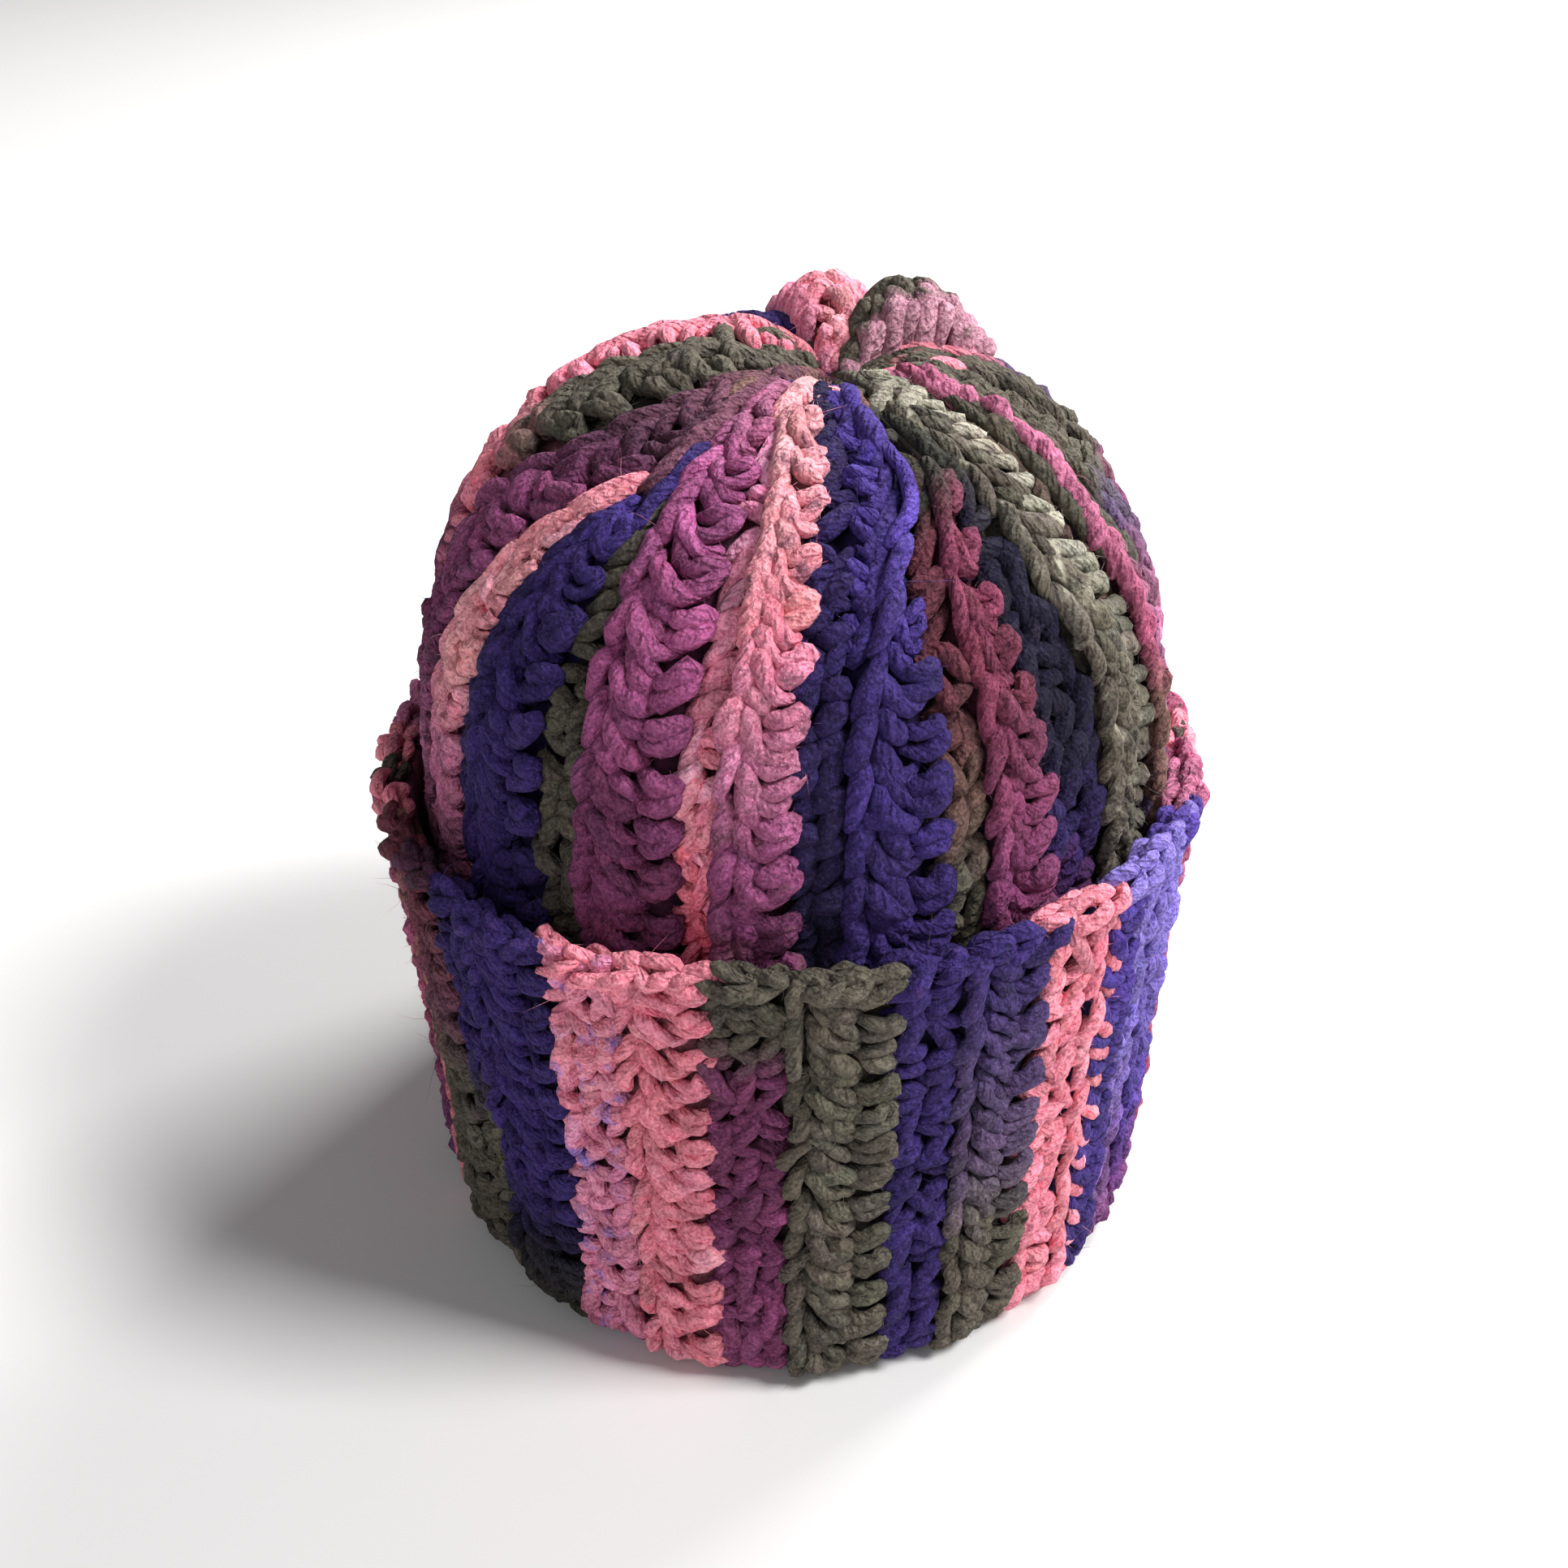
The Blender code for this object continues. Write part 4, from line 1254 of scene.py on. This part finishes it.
def gatherStrands():
    # a curve through the points in the plane round the gather, laid on the crown at its lift. Each
    # rib's last strands come first, under the chunky ends of the table
    g = gatherLook
    m = g["samples"]
    parts = []
    ends = []
    for row, *ribRuns in zip(crownRibs, *crownRuns):
        for run, (past, far, near) in zip(ribRuns, g["ribEnds"]):
            turn, bent = row[3] + past, dice.normal(0, 2.5, 3)
            middle = (turn + bent[1] - 3, (far + near) / 2)
            points = [(turn + bent[0], far), middle, (turn + bent[2] - 8, near)]
            ends.append((run[-1][1], g["ribGirth"], g["ribLift"] + dice.normal(0, 0.3), points))
    u = np.linspace(-1, 1, m)[None]
    for colour, girth, lift, points in ends + gatherEnds:
        turn, reach = np.radians([p[0] for p in points]), np.array([p[1] for p in points])
        flat = np.column_stack([reach * np.sin(turn), -reach * np.cos(turn)])
        line = curveWeights(len(points), m) @ flat
        angle = np.degrees(np.arctan2(line[:, 0], -line[:, 1]))[None]
        along = domeAlong(np.hypot(line[:, 0], line[:, 1])[None] / g["domeReach"])
        high = (lift + g["raise"]) * 0.001 - g["sink"] * (1 + np.abs(u) ** 4)
        centre, normal = crownAt(angle, along, high)
        radius = girth / 2 * (1 - g["taper"] * np.abs(u) ** 3)
        tint = np.broadcast_to(linear(colour) * math.exp(dice.normal(0, 0.08)), (1, m, 3))
        parts.append(strandSkin(centre, normal, radius, tint, flecked(tint * 0.6, 0.2), 9))
    return parts


# Cords that stand on the crown between two ribs: path by angle and way up, and colours along it
standingCords = [
    {
        "path": [
            (72, -0.012), (68, 0.029), (65, 0.051), (63, 0.079),
            (62, 0.104), (61.5, 0.120), (57, 0.138),
        ],
        "colours": colourRun("0 brown, 0.25 brown, 0.36 rose, 0.6 pink, 0.9 pink, 1 rose"),
        "pitch": 0.0080,
        "girth": 0.0040,
        "lift": 0.0002,
        "strand": [  # mm to the side, way up in pitches, mm over the surface, girth
            (-1.9, 0.0, -1.6, 0.5), (-1.5, 0.25, -0.2, 1.0), (0.2, 0.7, 0.3, 1.15),
            (1.6, 1.15, -0.4, 1.0), (1.9, 1.4, -1.8, 0.5),
        ],
        "rough": (0.7, 0.08, 0.6),  # each point
        "wholeRough": (0.6, 0.10, 0.7),  # each strand
    },
]


def cordStrands(cord):
    # a two-strand twist: side offset and height swap along each stitch, laid on the crown
    path = np.array(cord["path"])
    foot, length = path[0, 1], path[-1, 1] - path[0, 1]
    n = int(length / cord["pitch"])
    parts = []
    for phase, swing in ((0.0, 1.0), (0.5, 0.6)):
        points = copies(cord["strand"], n)
        each = dice.normal(0, cord["rough"], points[..., :3].shape)
        points[..., :3] += each + dice.normal(0, cord["wholeRough"], (n, 1, 3))
        line = curves(points, 11)
        along = foot + (np.arange(n)[:, None] + phase + line[..., 1]) * cord["pitch"]
        along = np.minimum(along, path[-1, 1])
        share = np.interp(along, crownTable["along"], crownTable["share"])
        side = line[..., 0] * swing
        angle = np.interp(along, path[:, 1], path[:, 0]) + np.degrees(side * 0.001 / (meanRadius * share))
        centre, normal = crownAt(angle, along, cord["lift"] + line[..., 2] * 0.001)
        tint = knotColour(cord["colours"], (along - foot) / length)
        radius = cord["girth"] / 2 * line[..., 3]
        parts.append(strandSkin(centre, normal, radius, tint, flecked(tint * 1.3, 0.3), 9))
    return parts


gatherParts = gatherStrands()
for cord in standingCords:
    gatherParts += cordStrands(cord)
buildPiece("crown_gather_strands", gatherParts, roving, "crown")

# Loose fibres that stand off the yarn. Pairs are for the short and the long ones.
fibreLook = {
    "count": (21000, 1300),
    "length": (0.0016, 0.0055),
    "longest": 1.7,  # times the mean
    "girth": (0.00016, 0.00012),
    "outwards": (0.7, 0.5),
    "astray": 0.55,
    "curl": 0.45,
    "droop": -0.15,
    "rooted": 0.0004,
    "clear": 0.001,  # over the floor
    "lowest": 0.006,  # they start above this
    "exposed": 0.1,
    # painted highlight: a hair is its yarn's colour times this, plus the next value
    "pale": 1.25,
    "highlightLift": 0.05,
}
crownYarn = strandsOf(crownParts, crownParts) + gatherParts + strandsOf(puckerParts, puckerParts)
crownFibres = looseFibres(crownYarn, fibreLook)
buildPiece("crown_loose_fibres", crownFibres, roving, "crown")
cuffYarn = strandsOf(cuffParts, cuffParts) + chainParts
cuffFibres = looseFibres(cuffYarn, dict(fibreLook, count=(17000, 900)))
buildPiece("cuff_loose_fibres", cuffFibres, roving, "folded_cuff")

# The inner cloth under the strands, painted dark as the shade between them. Heights are over the surface,
# at the ridges and in the grooves.
innerCloth = {
    "places": [0.0, 0.25, 0.5, 0.75, 1.0, 1.2, 1.5, 1.8],
    "edgeDip": 0.6,  # at a ridge's edge, 0 is its middle's height and 1 the groove's
    # painted shade: the cloth is its ribs' colours times this
    "tone": 0.30,
    "mapStep": 0.004,
    "crownRows": 46,
    "crownFace": (-0.0062, -0.0105),
    "crownInside": (-0.0125, -0.0125),
    "cuffRows": (44, 14),
    "cuffFace": (-0.0050, -0.0078),
    "cuffInside": (-0.0096, -0.0096),
    "cuffEnd": cuffTop - 0.006,
    "cuffInsideEnd": 0.018,
}


def clothShell(ribAt, ribCount, runs, grid, closed):
    # rows of (way up, ridge height, groove height) round the ribs, eased between ridge and groove.
    # A closed one joins its last row to its first, an open one has a pole at each end
    across = np.array(innerCloth["places"])
    ribs = np.repeat(np.arange(ribCount), len(across))
    across = np.tile(across, ribCount)
    atEdge = (across == 0) | (across == 1)
    dip = np.where(across > 1, 1.0, np.where(atEdge, innerCloth["edgeDip"], 0.0))
    grid = np.array(grid)
    alongs, high, low = grid[:, :1], grid[:, 1:2], grid[:, 2:]
    rows, columns = len(grid), len(across)
    ribGrid, alongGrid, acrossGrid = (np.broadcast_to(v, (rows, columns)) for v in (ribs, alongs, across))
    points, _, _ = ribAt(ribGrid, acrossGrid, alongGrid, high + (low - high) * dip)
    share = np.clip(alongGrid / alongs.max(), 0, 1)
    ridgeTint, grooveTint = (runColour(run, ribGrid.T, share.T).transpose(1, 0, 2) for run in runs)
    tint = np.where((across > 1)[None, :, None], grooveTint, ridgeTint)

    a, j = np.meshgrid(np.arange(rows if closed else rows - 1), np.arange(columns), indexing="ij")
    b, k = (a + 1) % rows, (j + 1) % columns
    quads = np.stack([a * columns + j, a * columns + k, b * columns + k, b * columns + j], axis=-1)
    us = np.stack([a, a, a + 1, a + 1], axis=-1) * innerCloth["mapStep"]
    vs = np.stack([j, j + 1, j + 1, j], axis=-1) * innerCloth["mapStep"]
    tris = np.zeros((0, 3), int)
    points = points.reshape(-1, 3)
    # painted shade: the ribs' colours darkened
    tint = tint.reshape(-1, 3) * innerCloth["tone"]
    if not closed:
        j = np.arange(columns)
        k = (j + 1) % columns
        last = (rows - 1) * columns
        poles = np.stack([points[:columns].mean(0), points[last:].mean(0)])
        pole = np.full(columns, len(points))
        tris = np.concatenate([
            np.stack([k, j, pole], axis=-1),
            np.stack([last + j, last + k, pole + 1], axis=-1),
        ])
        points = np.concatenate([points, poles])
        tint = np.concatenate([tint, tint[:1], tint[-1:]])
    return {
        "points": points,
        "quads": quads.reshape(-1, 4),
        "tris": tris,
        "quadMap": np.stack([us, vs], axis=-1).reshape(-1, 2),
        "triMap": np.zeros((len(tris) * 3, 2)),
        "tint": tint,
        "fleck": flecked(tint, 0.2),
    }


upTheCrown = np.linspace(crownTable["along"][0], crownTop, innerCloth["crownRows"])
crownGrid = [(a, *innerCloth["crownInside"]) for a in upTheCrown[::-1]]
crownGrid += [(a, *innerCloth["crownFace"]) for a in upTheCrown]
crownShell = clothShell(crownRibAt, len(crownRibs), crownRuns, crownGrid, False)
buildPiece("crown_backing", [crownShell], backing, "crown")
faceRows, insideRows = innerCloth["cuffRows"]
upTheCuff = np.linspace(cuffTable["along"][0], innerCloth["cuffEnd"], faceRows)
downInside = np.linspace(innerCloth["cuffEnd"], innerCloth["cuffInsideEnd"], insideRows)
cuffGrid = [(a, *innerCloth["cuffFace"]) for a in upTheCuff]
cuffGrid += [(a, *innerCloth["cuffInside"]) for a in downInside]
cuffShell = clothShell(cuffRibAt, len(cuffRibs), cuffRuns, cuffGrid, True)
buildPiece("cuff_backing", [cuffShell], backing, "folded_cuff")

# The floor, the light and the camera
stageLook = {
    "floor": (0.78, 0.77, 0.76),
    "world": 0.17,
    "camera": (0.0, -0.4850, 0.3730),
    "tilt": 60.0,
    "lens": 48.0,
    "sensor": 36.0,
    "picture": 1932,  # pixels
    "shift": (-10, 45),  # pixels
    "aim": (0, 0, 0.12),  # of the lights
}
bpy.ops.mesh.primitive_plane_add(size=8)
floor = bpy.context.object
floor.name = "pale_floor"
paper = bpy.data.materials.new("paleFloor")
paper.use_nodes = True
paperShader = paper.node_tree.nodes["Principled BSDF"]
paperShader.inputs["Base Color"].default_value = (*stageLook["floor"], 1)
paperShader.inputs["Roughness"].default_value = 0.8
floor.data.materials.append(paper)

world = bpy.data.worlds.new("studio")
scene.world = world
world.use_nodes = True
sky = world.node_tree.nodes["Background"]
sky.inputs["Color"].default_value = (0.95, 0.96, 1.0, 1)
sky.inputs["Strength"].default_value = stageLook["world"]

for name, place, size, power in (  # metres and watts
    ("key", (2.0, -0.5, 2.4), 1.0, 115),
    ("back", (1.4, 1.7, 1.8), 1.2, 95),
    ("fill", (-1.2, -2.8, 1.7), 2.4, 24),
):
    lamp = bpy.data.lights.new(name, "AREA")
    lamp.energy, lamp.size = power, size
    light = bpy.data.objects.new(name, lamp)
    scene.collection.objects.link(light)
    light.location = place
    aim = np.array(stageLook["aim"]) - np.array(place)
    tilt = math.acos(-aim[2] / np.linalg.norm(aim))
    light.rotation_euler = (tilt, 0, math.atan2(aim[1], aim[0]) - math.pi / 2)

lens = bpy.data.cameras.new("view")
lens.lens, lens.sensor_width = stageLook["lens"], stageLook["sensor"]
lens.shift_x, lens.shift_y = (pixels / stageLook["picture"] for pixels in stageLook["shift"])
lens.clip_start, lens.clip_end = 0.01, 20
camera = bpy.data.objects.new("view", lens)
scene.collection.objects.link(camera)
camera.location = stageLook["camera"]
camera.rotation_euler = (math.radians(stageLook["tilt"]), 0, 0)
scene.camera = camera
scene.view_settings.view_transform = "Standard"
print("stage set")
